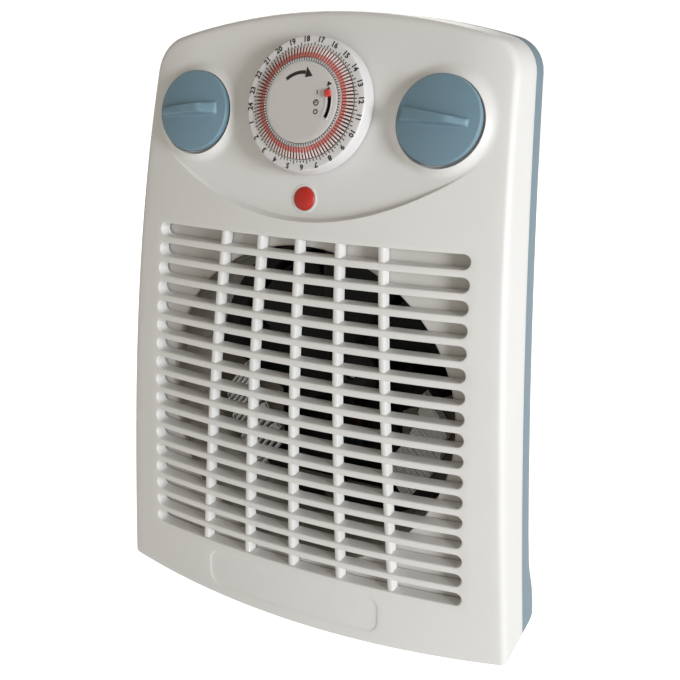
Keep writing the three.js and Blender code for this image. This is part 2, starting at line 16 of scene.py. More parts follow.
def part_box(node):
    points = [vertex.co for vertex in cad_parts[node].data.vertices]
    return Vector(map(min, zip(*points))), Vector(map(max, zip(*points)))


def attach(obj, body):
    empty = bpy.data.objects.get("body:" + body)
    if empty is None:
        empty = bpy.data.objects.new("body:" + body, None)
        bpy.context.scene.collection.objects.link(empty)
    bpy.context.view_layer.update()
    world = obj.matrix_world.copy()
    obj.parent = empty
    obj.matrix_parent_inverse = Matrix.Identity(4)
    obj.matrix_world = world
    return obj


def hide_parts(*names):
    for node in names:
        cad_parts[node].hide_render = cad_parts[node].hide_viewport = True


bl_info = {
    "name": "Fan Convector Heater",
    "version": (1, 0, 0),
    "blender": (4, 5, 0),
    "location": "3D View > Sidebar > Heater",
    "description": "Builds the mouldings, controls, air path and stage of a fan convector heater",
    "category": "Object",
}

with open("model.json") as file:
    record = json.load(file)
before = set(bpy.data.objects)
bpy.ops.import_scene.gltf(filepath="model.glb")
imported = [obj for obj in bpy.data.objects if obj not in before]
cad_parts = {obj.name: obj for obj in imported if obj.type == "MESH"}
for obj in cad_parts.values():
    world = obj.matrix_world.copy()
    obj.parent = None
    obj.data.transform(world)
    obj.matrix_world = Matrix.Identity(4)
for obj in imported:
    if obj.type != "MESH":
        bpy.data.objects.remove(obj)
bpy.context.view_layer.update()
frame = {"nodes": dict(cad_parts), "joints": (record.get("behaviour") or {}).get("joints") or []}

MM = 0.001

# Form of the body, in millimetres: the same curves as the frame's solids.
Z_MID = 159.0
TOP_Z = 349.6
ARCH = 0.00145
CORNER_R = 20.0
FOOT_R = 3.6
WALL = 2.6
RIM_R = 3.5
SEAM_HALF = 0.2
BACK_Y = 66.0
SLOT_ROWS = 17
SLOT_PITCH = 11.48
SLOT_H = 7.6
SLOT_TOP = 233.9
ARC_Z = 243.8
ARC_BEND = 0.0036
FAN_Z = 137.0
DUCT_R = 92.0
BAFFLE_FRONT = 8.8  # depth of the baffle's two skins behind the face
BAFFLE_BACK = 10.4
SHAFT_HOLE = 5.4  # radii of the holes in the control panel
DIAL_HOLE = 28.4
LENS_HOLE = 6.4
COLLAR_IN = 22.6  # knob collar: its inner edge, its crest and the run down to the panel
COLLAR_CREST = 23.3
COLLAR_RUN = 4.9
PLAQUE_X = -1.5
PLAQUE_Z = 24.4
PLAQUE_BEND = 0.0002
PLAQUE_HALF = 57.2
PLAQUE_TALL = 11.2
PLAQUE_R = 7
PLAQUE_SINK = 0.45
ON_AXIS = 1e-6  # a radius smaller than this is a point on the axis
POSTS = {"screw_top_left": (-42, 306), "screw_top_right": (42, 306),
         "screw_bottom_left": (-84, 48), "screw_bottom_right": (84, 48)}


# ------------------------------------------------------------------ body form
def level(z):
    return (z - Z_MID) / 150


def face_y(x, z):
    s = level(z)
    return 0.0008 * x * x + 11.72 * s + 9.46 * s * s + 2.8 * s ** 3 - 61


def seam_y(z):
    s = level(z)
    return -15 + 12.5 * s + 6 * s * s


def half_width(z):
    s = level(z)
    return 118.15 - 9.99 * s + 0.75 * s * s


def arch_z(x):
    return TOP_Z - ARCH * x * x


def bottom_z(x):
    return 4 + 5 * (x / 129) ** 2


def slot_end(z):
    return 98.3 - 6 * level(z)


def smooth(t):
    t = min(max(t, 0.0), 1.0)
    return t * t * (3 - 2 * t)


def arc_distance(x, z):
    """Height over the lower edge of the control panel, square to that edge."""
    slope = 2 * ARC_BEND * x
    return (z - ARC_Z - ARC_BEND * x * x) / math.sqrt(1 + slope * slope)


def surface_y(x, z):
    """Front surface: the bowed face, with the flat control panel sunk into it above the arc."""
    bowed = face_y(x, z)
    sunk = face_y(0, z) + settings().panel_depth / MM
    drop = sunk - bowed
    edge = 0.9
    soft = (drop + math.sqrt(drop * drop + edge * edge)) / 2 - 0.15
    wall = smooth(arc_distance(x, z) / 1.1 + 0.5)
    return bowed + max(soft, 0) * wall


def outline(inset, low=None):
    """Outline of the body seen from the front, counter-clockwise from the bottom middle."""
    low = inset if low is None else low
    rb = max(FOOT_R - low, 2)
    xb = half_width(14) - inset - rb
    zb = bottom_z(xb) + low + rb
    half = [(xb * k / 14, bottom_z(xb * k / 14) + low) for k in range(14)]
    for k in range(7):
        a = math.radians(-86 + 14 * k)
        half.append((xb + rb * math.cos(a), zb + rb * math.sin(a)))
    rt = max(CORNER_R - inset, 3)
    zt = 305.0
    for _ in range(6):
        xt = half_width(zt) - inset - rt
        zt = arch_z(xt + 0.25 * rt) - inset - 0.97 * rt
    sides = 34
    for k in range(sides):
        z = zb + 7 + (zt - 3 - zb - 7) * k / (sides - 1)
        half.append((half_width(z) - inset, z))
    for k in range(8):
        a = math.radians(3 + 73 * k / 7)
        half.append((xt + rt * math.cos(a), zt + rt * math.sin(a)))
    for k in range(13):
        x = xt * (1 - (k + 0.6) / 12.6)
        half.append((x, arch_z(x) - inset))
    return half + [(-x, z) for x, z in reversed(half[1:-1])]


def face_frame(x, z):
    """Local frame on the front surface, its Y pointing into the body."""
    e = 0.5
    fx = (surface_y(x + e, z) - surface_y(x - e, z)) / (2 * e)
    fz = (surface_y(x, z + e) - surface_y(x, z - e)) / (2 * e)
    ey = Vector((-fx, 1, -fz)).normalized()
    ex = Vector((1, fx, 0))
    ex = (ex - ey * ex.dot(ey)).normalized()
    ez = ex.cross(ey)
    m = Matrix((ex, ey, ez)).transposed().to_4x4()
    m.translation = (x, surface_y(x, z), z)
    return m


def axis_frame(node, behind):
    """Frame of a control: its axis from the joint, its origin on the panel under the node."""
    for joint in frame["joints"]:
        if joint["name"] == node:
            axis = Vector(joint["axis"]).normalized()
            origin = Vector(joint["pos_m"]) / MM
            ex = Vector((1, 0, 0))
            ex = (ex - axis * ex.dot(axis)).normalized()
            m = Matrix((ex, axis, ex.cross(axis))).transposed().to_4x4()
            m.translation = origin + axis * behind
            return m
    raise RuntimeError(f"no joint named {node}")


def box_middle(node):
    """Centre of a frame node's box."""
    low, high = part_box(node)
    return [(a + b) / 2 / MM for a, b in zip(low, high)]


# ------------------------------------------------------------------ mesh making
class Mould:
    """Vertices and faces of one piece, in millimetres, with a finish number per face."""

    def __init__(self):
        self.verts = []
        self.faces = []
        self.finish = []

    def add(self, part, place=None, finish=0):
        verts, faces = part
        base = len(self.verts)
        if place is not None:
            verts = [place @ Vector(v) for v in verts]
        self.verts += [tuple(v) for v in verts]
        self.faces += [tuple(base + i for i in f) for f in faces]
        self.finish += [finish] * len(faces)
        return self


def make_piece(name, mould, body, finishes, nodes=(), angle=32):
    """One named object from a mould, riding on its body and standing for its frame nodes."""
    mesh = bpy.data.meshes.new(name)
    mesh.from_pydata([tuple(c * MM for c in v) for v in mould.verts], [], mould.faces)
    for finish in finishes:
        mesh.materials.append(stock(finish))
    mesh.polygons.foreach_set("material_index", mould.finish)
    bm = bmesh.new()
    bm.from_mesh(mesh)
    bmesh.ops.remove_doubles(bm, verts=bm.verts, dist=2e-6)
    bmesh.ops.dissolve_degenerate(bm, edges=bm.edges, dist=1e-7)
    loose = [v for v in bm.verts if not v.link_faces]
    bmesh.ops.delete(bm, geom=loose, context="VERTS")
    bmesh.ops.recalc_face_normals(bm, faces=bm.faces)
    bm.to_mesh(mesh)
    bm.free()
    mesh.shade_smooth()
    mesh.set_sharp_from_angle(angle=math.radians(angle))
    obj = bpy.data.objects.new(name, mesh)
    bpy.context.scene.collection.objects.link(obj)
    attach(obj, body)
    if nodes:
        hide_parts(*nodes)
    return obj


def turn_y(degrees):
    return Matrix.Rotation(math.radians(degrees), 4, "Y")


def add_ring(verts, points):
    """Adds points to a list of vertices and gives back their numbers."""
    start = len(verts)
    verts.extend(points)
    return list(range(start, len(verts)))


def turned(profile, n=64):
    """A profile of (radius, y) points turned about Y."""
    angles = [math.radians(360.0 * k / n) for k in range(n)]
    verts, rows = [], []
    for r, y in profile:
        if r < ON_AXIS:
            rows.append(add_ring(verts, [(0, y, 0)]) * n)
        else:
            rows.append(add_ring(verts, [(r * math.cos(a), y, r * math.sin(a)) for a in angles]))
    return verts, bridge(rows, True)


def bridge(rows, around, closed=False):
    """Quads between rows of vertex numbers of equal length."""
    faces = []
    pairs = list(zip(rows, rows[1:]))
    if closed:
        pairs.append((rows[-1], rows[0]))
    for a, b in pairs:
        n = len(a)
        for i in range(n if around else n - 1):
            j = (i + 1) % n
            corner = [a[i], a[j], b[j], b[i]]
            corner = [c for k, c in enumerate(corner) if c != corner[k - 1]]
            if len(corner) >= 3:
                faces.append(tuple(corner))
    return faces


def rounded(points, radius, steps=4):
    """An open (radius, y) profile with every inner corner rounded."""
    out = [points[0]]
    for before, here, after in zip(points, points[1:], points[2:]):
        a = Vector(before) - Vector(here)
        b = Vector(after) - Vector(here)
        reach = min(radius, a.length * 0.45, b.length * 0.45)
        p = Vector(here) + a.normalized() * reach
        q = Vector(here) + b.normalized() * reach
        for k in range(steps + 1):
            t = k / steps
            c = p * (1 - t) ** 2 + Vector(here) * 2 * t * (1 - t) + q * t * t
            out.append((c.x, c.y))
    out.append(points[-1])
    return out


def block(x0, x1, y0, y1, z0, z1, radius=0.6, steps=2):
    """A moulded block with rounded edges."""
    bm = bmesh.new()
    bmesh.ops.create_cube(bm, size=1)
    for v in bm.verts:
        v.co = Vector(((x0 + x1) / 2 + v.co.x * (x1 - x0),
                       (y0 + y1) / 2 + v.co.y * (y1 - y0),
                       (z0 + z1) / 2 + v.co.z * (z1 - z0)))
    bmesh.ops.bevel(bm, geom=bm.edges[:], offset=radius, segments=steps,
                    affect="EDGES", profile=0.5)
    bm.verts.index_update()
    part = ([tuple(v.co) for v in bm.verts], [tuple(v.index for v in f.verts) for f in bm.faces])
    bm.free()
    return part


def slab(points, y0, y1, soft=0.0):
    """A flat outline in X and Z between two depths, its front edge softened towards the middle."""
    cx = sum(p[0] for p in points) / len(points)
    cz = sum(p[1] for p in points) / len(points)
    rows, verts = [], []
    layers = [(y1, 0.0), (y0 + soft, 0.0), (y0, soft)] if soft else [(y1, 0.0), (y0, 0.0)]
    for y, pull in layers:
        row = []
        for x, z in points:
            away = math.hypot(x - cx, z - cz) or 1
            k = 1 - pull / away
            row.append(len(verts))
            verts.append((cx + (x - cx) * k, y, cz + (z - cz) * k))
        rows.append(row)
    faces = bridge(rows, True)
    faces.append(tuple(rows[0]))
    faces.append(tuple(reversed(rows[-1])))
    return verts, faces


def band(r0, r1, y0, y1, a0, a1, steps, soft=0.0):
    """A piece of a ring between two radii and two angles in degrees."""
    outer = []
    inner = []
    for k in range(steps + 1):
        a = math.radians(a0 + (a1 - a0) * k / steps)
        outer.append((r1 * math.cos(a), r1 * math.sin(a)))
        inner.append((r0 * math.cos(a), r0 * math.sin(a)))
    return slab(outer + inner[::-1], y0, y1, soft)


def swept(path, section):
    """A cross-section carried along a path of (centre, side, up) triples, closed at its ends."""
    verts = []
    rows = [add_ring(verts, [tuple(centre + side * u + up * v) for u, v in section])
            for centre, side, up in path]
    faces = bridge(rows, True)
    faces += [tuple(reversed(rows[0])), tuple(rows[-1])]
    return verts, faces


def wire(points, radius, n=8):
    """A round wire along points."""
    path = []
    for i, p in enumerate(points):
        ahead = Vector(points[min(i + 1, len(points) - 1)])
        back = Vector(points[max(i - 1, 0)])
        along = (ahead - back).normalized()
        side = along.cross(Vector((0, 1, 0.013))).normalized()
        path.append((Vector(p), side, side.cross(along)))
    section = [(radius * math.cos(2 * math.pi * k / n), radius * math.sin(2 * math.pi * k / n))
               for k in range(n)]
    return swept(path, section)


def sheet(loops, lines, points, keep):
    """Triangles in the XZ plane over closed loops, open lines and loose points."""
    coords, edges, spans = [], [], []
    for run, closed in [(p, True) for p in loops] + [(p, False) for p in lines]:
        start = len(coords)
        coords += run
        n = len(run)
        edges += [(start + i, start + (i + 1) % n) for i in range(n if closed else n - 1)]
        spans.append(range(start, start + n))
    coords += points
    flat = [Vector(c) for c in coords]
    verts, _, tris, origin, _, _ = delaunay_2d_cdt(flat, edges, [], 0, 1e-5, True)
    place = {}
    for new, olds in enumerate(origin):
        for old in olds:
            place[old] = new
    kept = []
    for t in tris:
        x = sum(verts[i][0] for i in t) / len(t)
        z = sum(verts[i][1] for i in t) / len(t)
        if keep(x, z):
            kept.append(tuple(t))
    loops_at = [[place[i] for i in span] for span in spans[:len(loops)]]
    return [(v[0], v[1]) for v in verts], kept, loops_at


def inside(x, z, loop):
    hit = False
    for (x0, z0), (x1, z1) in zip(loop, loop[1:] + loop[:1]):
        if (z0 > z) != (z1 > z) and x < (x1 - x0) * (z - z0) / (z1 - z0) + x0:
            hit = not hit
    return hit


def stadium(cx, cz, half, radius, straight=31, bend=9):
    """A closed slot outline with round ends, counter-clockwise."""
    points = []
    for k in range(straight):
        points.append((cx - half + 2 * half * k / straight, cz - radius))
    for k in range(bend):
        a = math.pi * (-0.5 + k / bend)
        points.append((cx + half + radius * math.cos(a), cz + radius * math.sin(a)))
    for k in range(straight):
        points.append((cx + half - 2 * half * k / straight, cz + radius))
    for k in range(bend):
        a = math.pi * (0.5 + k / bend)
        points.append((cx - half + radius * math.cos(a), cz + radius * math.sin(a)))
    return points


def circle(r, n=48, cx=0.0, cz=0.0):
    return [(cx + r * math.cos(2 * math.pi * k / n), cz + r * math.sin(2 * math.pi * k / n))
            for k in range(n)]


def tangent_circle(place, r, n):
    """A circle about a control's axis, seen from the front."""
    points = []
    for x, z in circle(r, n):
        p = place @ Vector((x, 0, z))
        points.append((p.x, p.z))
    return points


def spans(a, b, step):
    n = max(1, round((b - a) / step))
    return [a + (b - a) * k / n for k in range(n + 1)]


def spline(rows, t):
    """A point on a smooth curve through rows of points, row by row."""
    n = len(rows) - 1
    k = min(int(t * n), n - 1)
    u = t * n - k
    p0, p1, p2, p3 = (rows[max(k - 1, 0)], rows[k], rows[k + 1], rows[min(k + 2, n)])
    out = []
    for a, b, c, d in zip(p0, p1, p2, p3):
        out.append(tuple(
            0.5 * (2 * q + (r - p) * u + (2 * p - 5 * q + 4 * r - s) * u * u
                   + (3 * q - p - 3 * r + s) * u ** 3)
            for p, q, r, s in zip(a, b, c, d)))
    return out


def figures(text, size, height=0.12):
    """Printed characters as a flat raised mesh in the XZ plane, facing -Y, centred."""
    curve = bpy.data.curves.new("figures", "FONT")
    curve.body = text
    curve.size = size
    curve.align_x = "CENTER"
    curve.align_y = "CENTER"
    curve.resolution_u = 2
    curve.offset = size * 0.034
    curve.extrude = height / 2
    holder = bpy.data.objects.new("figures", curve)
    mesh = bpy.data.meshes.new_from_object(holder)
    verts = [(v.co.x, -v.co.z, v.co.y) for v in mesh.vertices]
    faces = [tuple(p.vertices) for p in mesh.polygons]
    bpy.data.objects.remove(holder)
    bpy.data.curves.remove(curve)
    bpy.data.meshes.remove(mesh)
    return verts, faces


# ------------------------------------------------------------------ settings
def colour_setting(name, description, default):
    return bpy.props.FloatVectorProperty(
        name=name, description=description, default=default, size=3, min=0, max=1,
        subtype="COLOR")


def length_setting(name, description, default):
    return bpy.props.FloatProperty(
        name=name, description=description, default=default * MM, min=0, unit="LENGTH",
        precision=5)


class HeaterSizes(bpy.types.PropertyGroup):
    """Sizes that shape the visible detail."""

    panel_depth: length_setting("Panel depth", "How far the control panel is sunk", 6.0)
    slot_round: length_setting("Slat rounding", "Radius along the slot edges", 0.8)
    slat_depth: length_setting("Slat depth", "Depth of the slats from front to back", 8.0)
    rib_width: length_setting("Rib width", "Width of the upright ribs", 3.6)
    collar_height: length_setting("Collar height", "Height of the knob collars", 3.0)
    fan_radius: length_setting("Fan radius", "Radius over the fan blades", 79.0)
    folds: bpy.props.IntProperty(
        name="Element folds", description="Folds in each heating ribbon", default=15, min=4)
    tappets: bpy.props.IntProperty(
        name="Tappets", description="Switching tappets round the timer dial", default=96, min=12)


class HeaterColours(bpy.types.PropertyGroup):
    """Colours of the main finishes."""

    white: colour_setting("Front moulding", "Warm white of the front", (0.70, 0.695, 0.685))
    blue: colour_setting("Rear moulding", "Grey-blue of the rear", (0.172, 0.243, 0.290))
    knob: colour_setting("Knobs", "Grey-blue of the knobs", (0.152, 0.247, 0.312))
    dial: colour_setting("Timer", "White of the timer ring", (0.66, 0.65, 0.655))
    disc: colour_setting("Timer centre", "Grey of the timer centre", (0.56, 0.54, 0.53))
    tappet: colour_setting("Tappets", "Red of the tappets", (0.48, 0.15, 0.13))
    lens: colour_setting("Lens", "Red of the pilot lens", (0.46, 0.016, 0.008))
    # Duct beige is darker than the baffle of the same moulding: painted shade inside the duct.
    duct: colour_setting("Duct", "Beige of the air duct", (0.46, 0.43, 0.37))


def settings():
    return bpy.context.scene.heater_sizes


def colours():
    return bpy.context.scene.heater_colours


# ------------------------------------------------------------------ shared effects
def effect(name, inputs, outputs):
    """A shader node group with named sockets, built once."""
    group = bpy.data.node_groups.get(name)
    if group:
        return group, None, None
    group = bpy.data.node_groups.new(name, "ShaderNodeTree")
    for label, kind, value in inputs:
        socket = group.interface.new_socket(label, in_out="INPUT", socket_type=kind)
        if value is not None:
            socket.default_value = value
    for label, kind in outputs:
        group.interface.new_socket(label, in_out="OUTPUT", socket_type=kind)
    return group, group.nodes.new("NodeGroupInput"), group.nodes.new("NodeGroupOutput")


def math_node(group, operation, a, b=None):
    node = group.nodes.new("ShaderNodeMath")
    node.operation = operation
    for socket, value in zip(node.inputs, (a, b)):
        if value is None:
            continue
        if isinstance(value, (int, float)):
            socket.default_value = value
        else:
            group.links.new(value, socket)
    return node.outputs[0]


def noise_node(group, vector, scale, detail, roughness=0.5):
    node = group.nodes.new("ShaderNodeTexNoise")
    group.links.new(vector, node.inputs["Vector"])
    if isinstance(scale, (int, float)):
        node.inputs["Scale"].default_value = scale
    else:
        group.links.new(scale, node.inputs["Scale"])
    node.inputs["Detail"].default_value = detail
    node.inputs["Roughness"].default_value = roughness
    return node.outputs["Fac"]


def moulded_grain():
    """Fine spark-eroded grain with shallow flow waves: height and a mottling value."""
    group, source, sink = effect(
        "Moulded grain",
        [("Vector", "NodeSocketVector", None), ("Grain scale", "NodeSocketFloat", 1500.0),
         ("Flow scale", "NodeSocketFloat", 22.0), ("Flow amount", "NodeSocketFloat", 0.4)],
        [("Height", "NodeSocketFloat"), ("Mottle", "NodeSocketFloat")])
    if source is None:
        return group
    vector = source.outputs["Vector"]
    fine = noise_node(group, vector, source.outputs["Grain scale"], 3, 0.6)
    flow = noise_node(group, vector, source.outputs["Flow scale"], 4, 0.55)
    waves = math_node(group, "MULTIPLY", flow, source.outputs["Flow amount"])
    group.links.new(math_node(group, "ADD", fine, waves), sink.inputs["Height"])
    group.links.new(flow, sink.inputs["Mottle"])
    return group


def edge_wear():
    """Mask of rubbed outer edges and of darkening in inner corners."""
    group, source, sink = effect(
        "Edge wear",
        [("Vector", "NodeSocketVector", None), ("Breakup scale", "NodeSocketFloat", 260.0),
         ("Amount", "NodeSocketFloat", 0.5)],
        [("Rub", "NodeSocketFloat"), ("Grime", "NodeSocketFloat")])
    if source is None:
        return group
    geometry = group.nodes.new("ShaderNodeNewGeometry")
    broken = noise_node(group, source.outputs["Vector"], source.outputs["Breakup scale"], 4, 0.7)
    for low, high, label in ((0.515, 0.60, "Rub"), (0.485, 0.40, "Grime")):
        ramp = group.nodes.new("ShaderNodeMapRange")
        ramp.inputs["From Min"].default_value = low
        ramp.inputs["From Max"].default_value = high
        group.links.new(geometry.outputs["Pointiness"], ramp.inputs["Value"])
        mixed = math_node(group, "MULTIPLY", ramp.outputs[0], broken)
        mixed = math_node(group, "MULTIPLY", mixed, source.outputs["Amount"])
        group.links.new(mixed, sink.inputs[label])
    return group


def brushed_lines():
    """Fine drawn lines in metal: height and value."""
    group, source, sink = effect(
        "Brushed lines",
        [("Vector", "NodeSocketVector", None), ("Stretch", "NodeSocketVector", (1, 30, 1)),
         ("Scale", "NodeSocketFloat", 400.0)],
        [("Height", "NodeSocketFloat")])
    if source is None:
        return group
    scaled = group.nodes.new("ShaderNodeVectorMath")
    scaled.operation = "MULTIPLY"
    group.links.new(source.outputs["Vector"], scaled.inputs[0])
    group.links.new(source.outputs["Stretch"], scaled.inputs[1])
    lines = noise_node(group, scaled.outputs[0], source.outputs["Scale"], 2, 0.5)
    group.links.new(lines, sink.inputs["Height"])
    return group


def placed(material, group, **values):
    node = material.node_tree.nodes.new("ShaderNodeGroup")
    node.node_tree = group
    for label, value in values.items():
        node.inputs[label.replace("_", " ")].default_value = value
    return node


def finish_of(name, colour, rough=0.4, metallic=0.0, grain=1500.0, bump=0.00002, flow=0.4,
              mottle=0.06, wear=0.4, wear_tint=1.25, hollow_tint=0.72, coat=0.0,
              specular=0.5, transmission=0.0, lines=None, emission=None):
    """A moulded, drawn or printed finish with its own grain, mottling and worn edges."""
    made = bpy.data.materials.get(name)
    if made:
        return made
    made = bpy.data.materials.new(name)
    made.use_nodes = True
    tree = made.node_tree
    shader = tree.nodes["Principled BSDF"]
    coords = tree.nodes.new("ShaderNodeTexCoord").outputs["Object"]
    base = tuple(colour)[:3]

    grain_node = placed(made, moulded_grain(), Grain_scale=grain, Flow_amount=flow)
    wear_node = placed(made, edge_wear(), Amount=wear)
    for node in (grain_node, wear_node):
        tree.links.new(coords, node.inputs["Vector"])

    def tone(factor, low, high):
        mix = tree.nodes.new("ShaderNodeMix")
        mix.data_type = "RGBA"
        tree.links.new(factor, mix.inputs["Factor"])
        for socket, value in ((mix.inputs[6], low), (mix.inputs[7], high)):
            if isinstance(value, tuple):
                socket.default_value = (*value, 1)
            else:
                tree.links.new(value, socket)
        return mix.outputs[2]

    def tinted(k):
        return tuple(min(c * k, 1.0) for c in base)

    body = tone(grain_node.outputs["Mottle"], tinted(1 - mottle), tinted(1 + mottle))
    body = tone(wear_node.outputs["Rub"], body, tinted(wear_tint))
    # Darker in inner corners and creases, by the hollow tint.
    body = tone(wear_node.outputs["Grime"], body, tinted(hollow_tint))
    tree.links.new(body, shader.inputs["Base Color"])

    span = tree.nodes.new("ShaderNodeMapRange")
    span.inputs["To Min"].default_value = max(rough - 0.06, 0.02)
    span.inputs["To Max"].default_value = min(rough + 0.10, 1.0)
    tree.links.new(grain_node.outputs["Mottle"], span.inputs["Value"])
    tree.links.new(span.outputs[0], shader.inputs["Roughness"])

    height = grain_node.outputs["Height"]
    if lines:
        drawn = placed(made, brushed_lines(), Stretch=lines)
        tree.links.new(coords, drawn.inputs["Vector"])
        height = drawn.outputs["Height"]
    relief = tree.nodes.new("ShaderNodeBump")
    relief.inputs["Strength"].default_value = 1.0
    relief.inputs["Distance"].default_value = bump
    tree.links.new(height, relief.inputs["Height"])
    tree.links.new(relief.outputs[0], shader.inputs["Normal"])

    shader.inputs["Metallic"].default_value = metallic
    shader.inputs["Specular IOR Level"].default_value = specular
    shader.inputs["Coat Weight"].default_value = coat
    shader.inputs["Coat Roughness"].default_value = 0.12
    shader.inputs["Transmission Weight"].default_value = transmission
    if emission:
        shader.inputs["Emission Color"].default_value = (*emission, 1)
        shader.inputs["Emission Strength"].default_value = 1.0
    return made


# Finishes by name: a colour setting or a colour, the roughness, and what else differs.
STOCK = {
    "White moulding": ("white", 0.42, dict(
        bump=0.000014, mottle=0.018, wear=0.35, wear_tint=1.12, hollow_tint=0.86, specular=0.42)),
    "Blue moulding": ("blue", 0.38, dict(
        bump=0.000016, mottle=0.04, wear=0.5, wear_tint=1.3, specular=0.45)),
    "Knob moulding": ("knob", 0.40, dict(
        grain=1900, bump=0.000016, mottle=0.05, wear=0.6, wear_tint=1.5, specular=0.45)),
    "Duct moulding": ("duct", 0.55, dict(mottle=0.1, wear=0.4)),
    "Baffle moulding": ((0.60, 0.585, 0.56), 0.5, dict(mottle=0.04, wear=0.3)),
    "Black moulding": ((0.012, 0.012, 0.013), 0.5, dict(
        mottle=0.25, wear=0.8, wear_tint=2.6, specular=0.4)),
    "Fan moulding": ((0.010, 0.010, 0.011), 0.45, dict(
        mottle=0.3, wear=1.0, wear_tint=2.4, specular=0.35)),
    "Foot rubber": ((0.035, 0.035, 0.036), 0.82, dict(
        grain=900, bump=0.00006, mottle=0.2, wear=0.6, wear_tint=1.8, specular=0.3)),
    "Zinc plate": ((0.56, 0.57, 0.58), 0.30, dict(
        metallic=1.0, mottle=0.12, wear=0.6, lines=(1, 12, 1), bump=0.00001)),
    # Black for print, also used as painted shade and shadow in recesses and between the tappets.
    "Printed black": ((0.016, 0.015, 0.015), 0.5, dict(mottle=0.2, wear=0.2, wear_tint=1.6)),
    "Timer white": ("dial", 0.32, dict(
        grain=2200, bump=0.000008, mottle=0.015, wear=0.3, wear_tint=1.15, hollow_tint=0.8,
        coat=0.15)),
    # Heating ribbon: near-white and barely metallic, a painted highlight in place of the glints on
    # the metal.
    "Bright ribbon": ((0.95, 0.92, 0.86), 0.32, dict(
        metallic=0.15, mottle=0.15, wear=0.3, lines=(1, 1, 14), bump=0.00001)),
    "Tappet red": ("tappet", 0.38, dict(
        grain=2200, bump=0.00001, mottle=0.06, wear=0.3, wear_tint=1.4)),
    # Pale tip: a lighter copy of the tappet red, painted highlight on the tappets' outer ends.
    "Tappet tip": ((0.64, 0.50, 0.48), 0.38, dict(
        grain=2200, bump=0.00001, mottle=0.05, wear=0.3, wear_tint=1.25)),
    "Timer grey": ("disc", 0.36, dict(
        grain=2200, bump=0.00001, mottle=0.015, wear=0.3, wear_tint=1.15, hollow_tint=0.85)),
    "Switch red": ((0.55, 0.05, 0.04), 0.35, dict(
        grain=2200, bump=0.00001, mottle=0.05, wear=0.5, wear_tint=1.5)),
    "Lens red": ("lens", 0.38, dict(
        grain=420, bump=0.00012, mottle=0.3, wear=0.2, coat=0.1, transmission=0.1,
        emission=(0.035, 0.002, 0.001))),
    "Ground steel": ((0.60, 0.60, 0.60), 0.24, dict(
        metallic=1.0, mottle=0.1, lines=(30, 1, 30), bump=0.00001)),
    "Sheet stack": ((0.33, 0.33, 0.34), 0.42, dict(
        metallic=1.0, mottle=0.2, lines=(1, 40, 1), bump=0.00005)),
    # Winding copper darker than its own colour: painted shade for its place deep inside the body.
    "Enamelled copper": ((0.16, 0.06, 0.03), 0.35, dict(
        metallic=0.7, mottle=0.2, lines=(1, 1, 40), bump=0.00012)),
    "Sintered bronze": ((0.58, 0.43, 0.20), 0.45, dict(
        metallic=1.0, grain=900, bump=0.00003, mottle=0.15)),
    "Pressed mica": ((0.13, 0.11, 0.085), 0.5, dict(
        grain=500, bump=0.00004, mottle=0.3, wear=0.6)),
    "Phenolic": ((0.06, 0.04, 0.03), 0.45, dict(mottle=0.3, wear=0.8, wear_tint=1.8)),
    "Natural nylon": ((0.68, 0.65, 0.58), 0.5, dict(mottle=0.06)),
    "Filter foam": ((0.018, 0.018, 0.019), 0.95, dict(
        grain=320, bump=0.0009, mottle=0.6, wear=0.2)),
    "Lamp glass": ((0.9, 0.78, 0.6), 0.1, dict(
        mottle=0.03, transmission=0.9, bump=0.000004)),
}


def stock(name):
    """A finish that pieces share."""
    colour, rough, values = STOCK[name]
    if isinstance(colour, str):
        colour = getattr(colours(), colour)
    return finish_of(name, colour, rough, **values)


# ------------------------------------------------------------------ front moulding
def lens_frame():
    x, _, z = box_middle("pilot_lens")
    return face_frame(x, z)


def knob_frames():
    return [axis_frame("selector_turn", 0), axis_frame("thermostat_turn", 0)]


def collar_rise(r):
    """Height of a knob collar over the panel at a radius from the knob's axis."""
    top = settings().collar_height / MM
    if r < COLLAR_IN:
        return 0.0
    if r < COLLAR_CREST:
        return top * math.sqrt(max(0.0, 1 - ((COLLAR_CREST - r) / 0.7) ** 2))
    return top * max(0.0, 1 - (r - COLLAR_CREST) / COLLAR_RUN) ** 1.5


def front_relief(x, z, places):
    """Depth to add to the front surface: collars stand out, the plaque is sunk."""
    y = surface_y(x, z)
    rise = 0.0
    for place in places:
        local = place.inverted() @ Vector((x, y, z))
        rise = max(rise, collar_rise(math.hypot(local.x, local.z)))
    return -rise + PLAQUE_SINK * (1 - smooth(plaque_distance(x, z) / 1.2 + 0.5))


def plaque_distance(x, z):
    """Distance outside the rounded plaque at the foot of the face."""
    qx = abs(x - PLAQUE_X) - (PLAQUE_HALF - PLAQUE_R)
    qz = abs(z - (PLAQUE_Z + PLAQUE_BEND * x * x)) - (PLAQUE_TALL - PLAQUE_R)
    return math.hypot(max(qx, 0), max(qz, 0)) + min(max(qx, qz), 0) - PLAQUE_R


def plaque_loop(grow):
    points = []
    half, tall, r = PLAQUE_HALF + grow, PLAQUE_TALL + grow, PLAQUE_R + grow
    for cx, cz, a0 in ((half - r, -(tall - r), -90), (half - r, tall - r, 0),
                       (-(half - r), tall - r, 90), (-(half - r), -(tall - r), 180)):
        for k in range(7):
            a = math.radians(a0 + 15 * k)
            points.append((cx + r * math.cos(a), cz + r * math.sin(a)))
    dense = []
    for p, q in zip(points, points[1:] + points[:1]):
        n = max(1, int(math.dist(p, q) / 5))
        dense += [(p[0] + (q[0] - p[0]) * k / n, p[1] + (q[1] - p[1]) * k / n) for k in range(n)]
    return [(x + PLAQUE_X, z + PLAQUE_Z + PLAQUE_BEND * x * x) for x, z in dense]


def slot_centre(row):
    return SLOT_TOP - SLOT_H / 2 - row * SLOT_PITCH


def slot_loop(row, grow):
    z = slot_centre(row)
    return stadium(0, z, slot_end(z) - SLOT_H / 2, SLOT_H / 2 + grow)


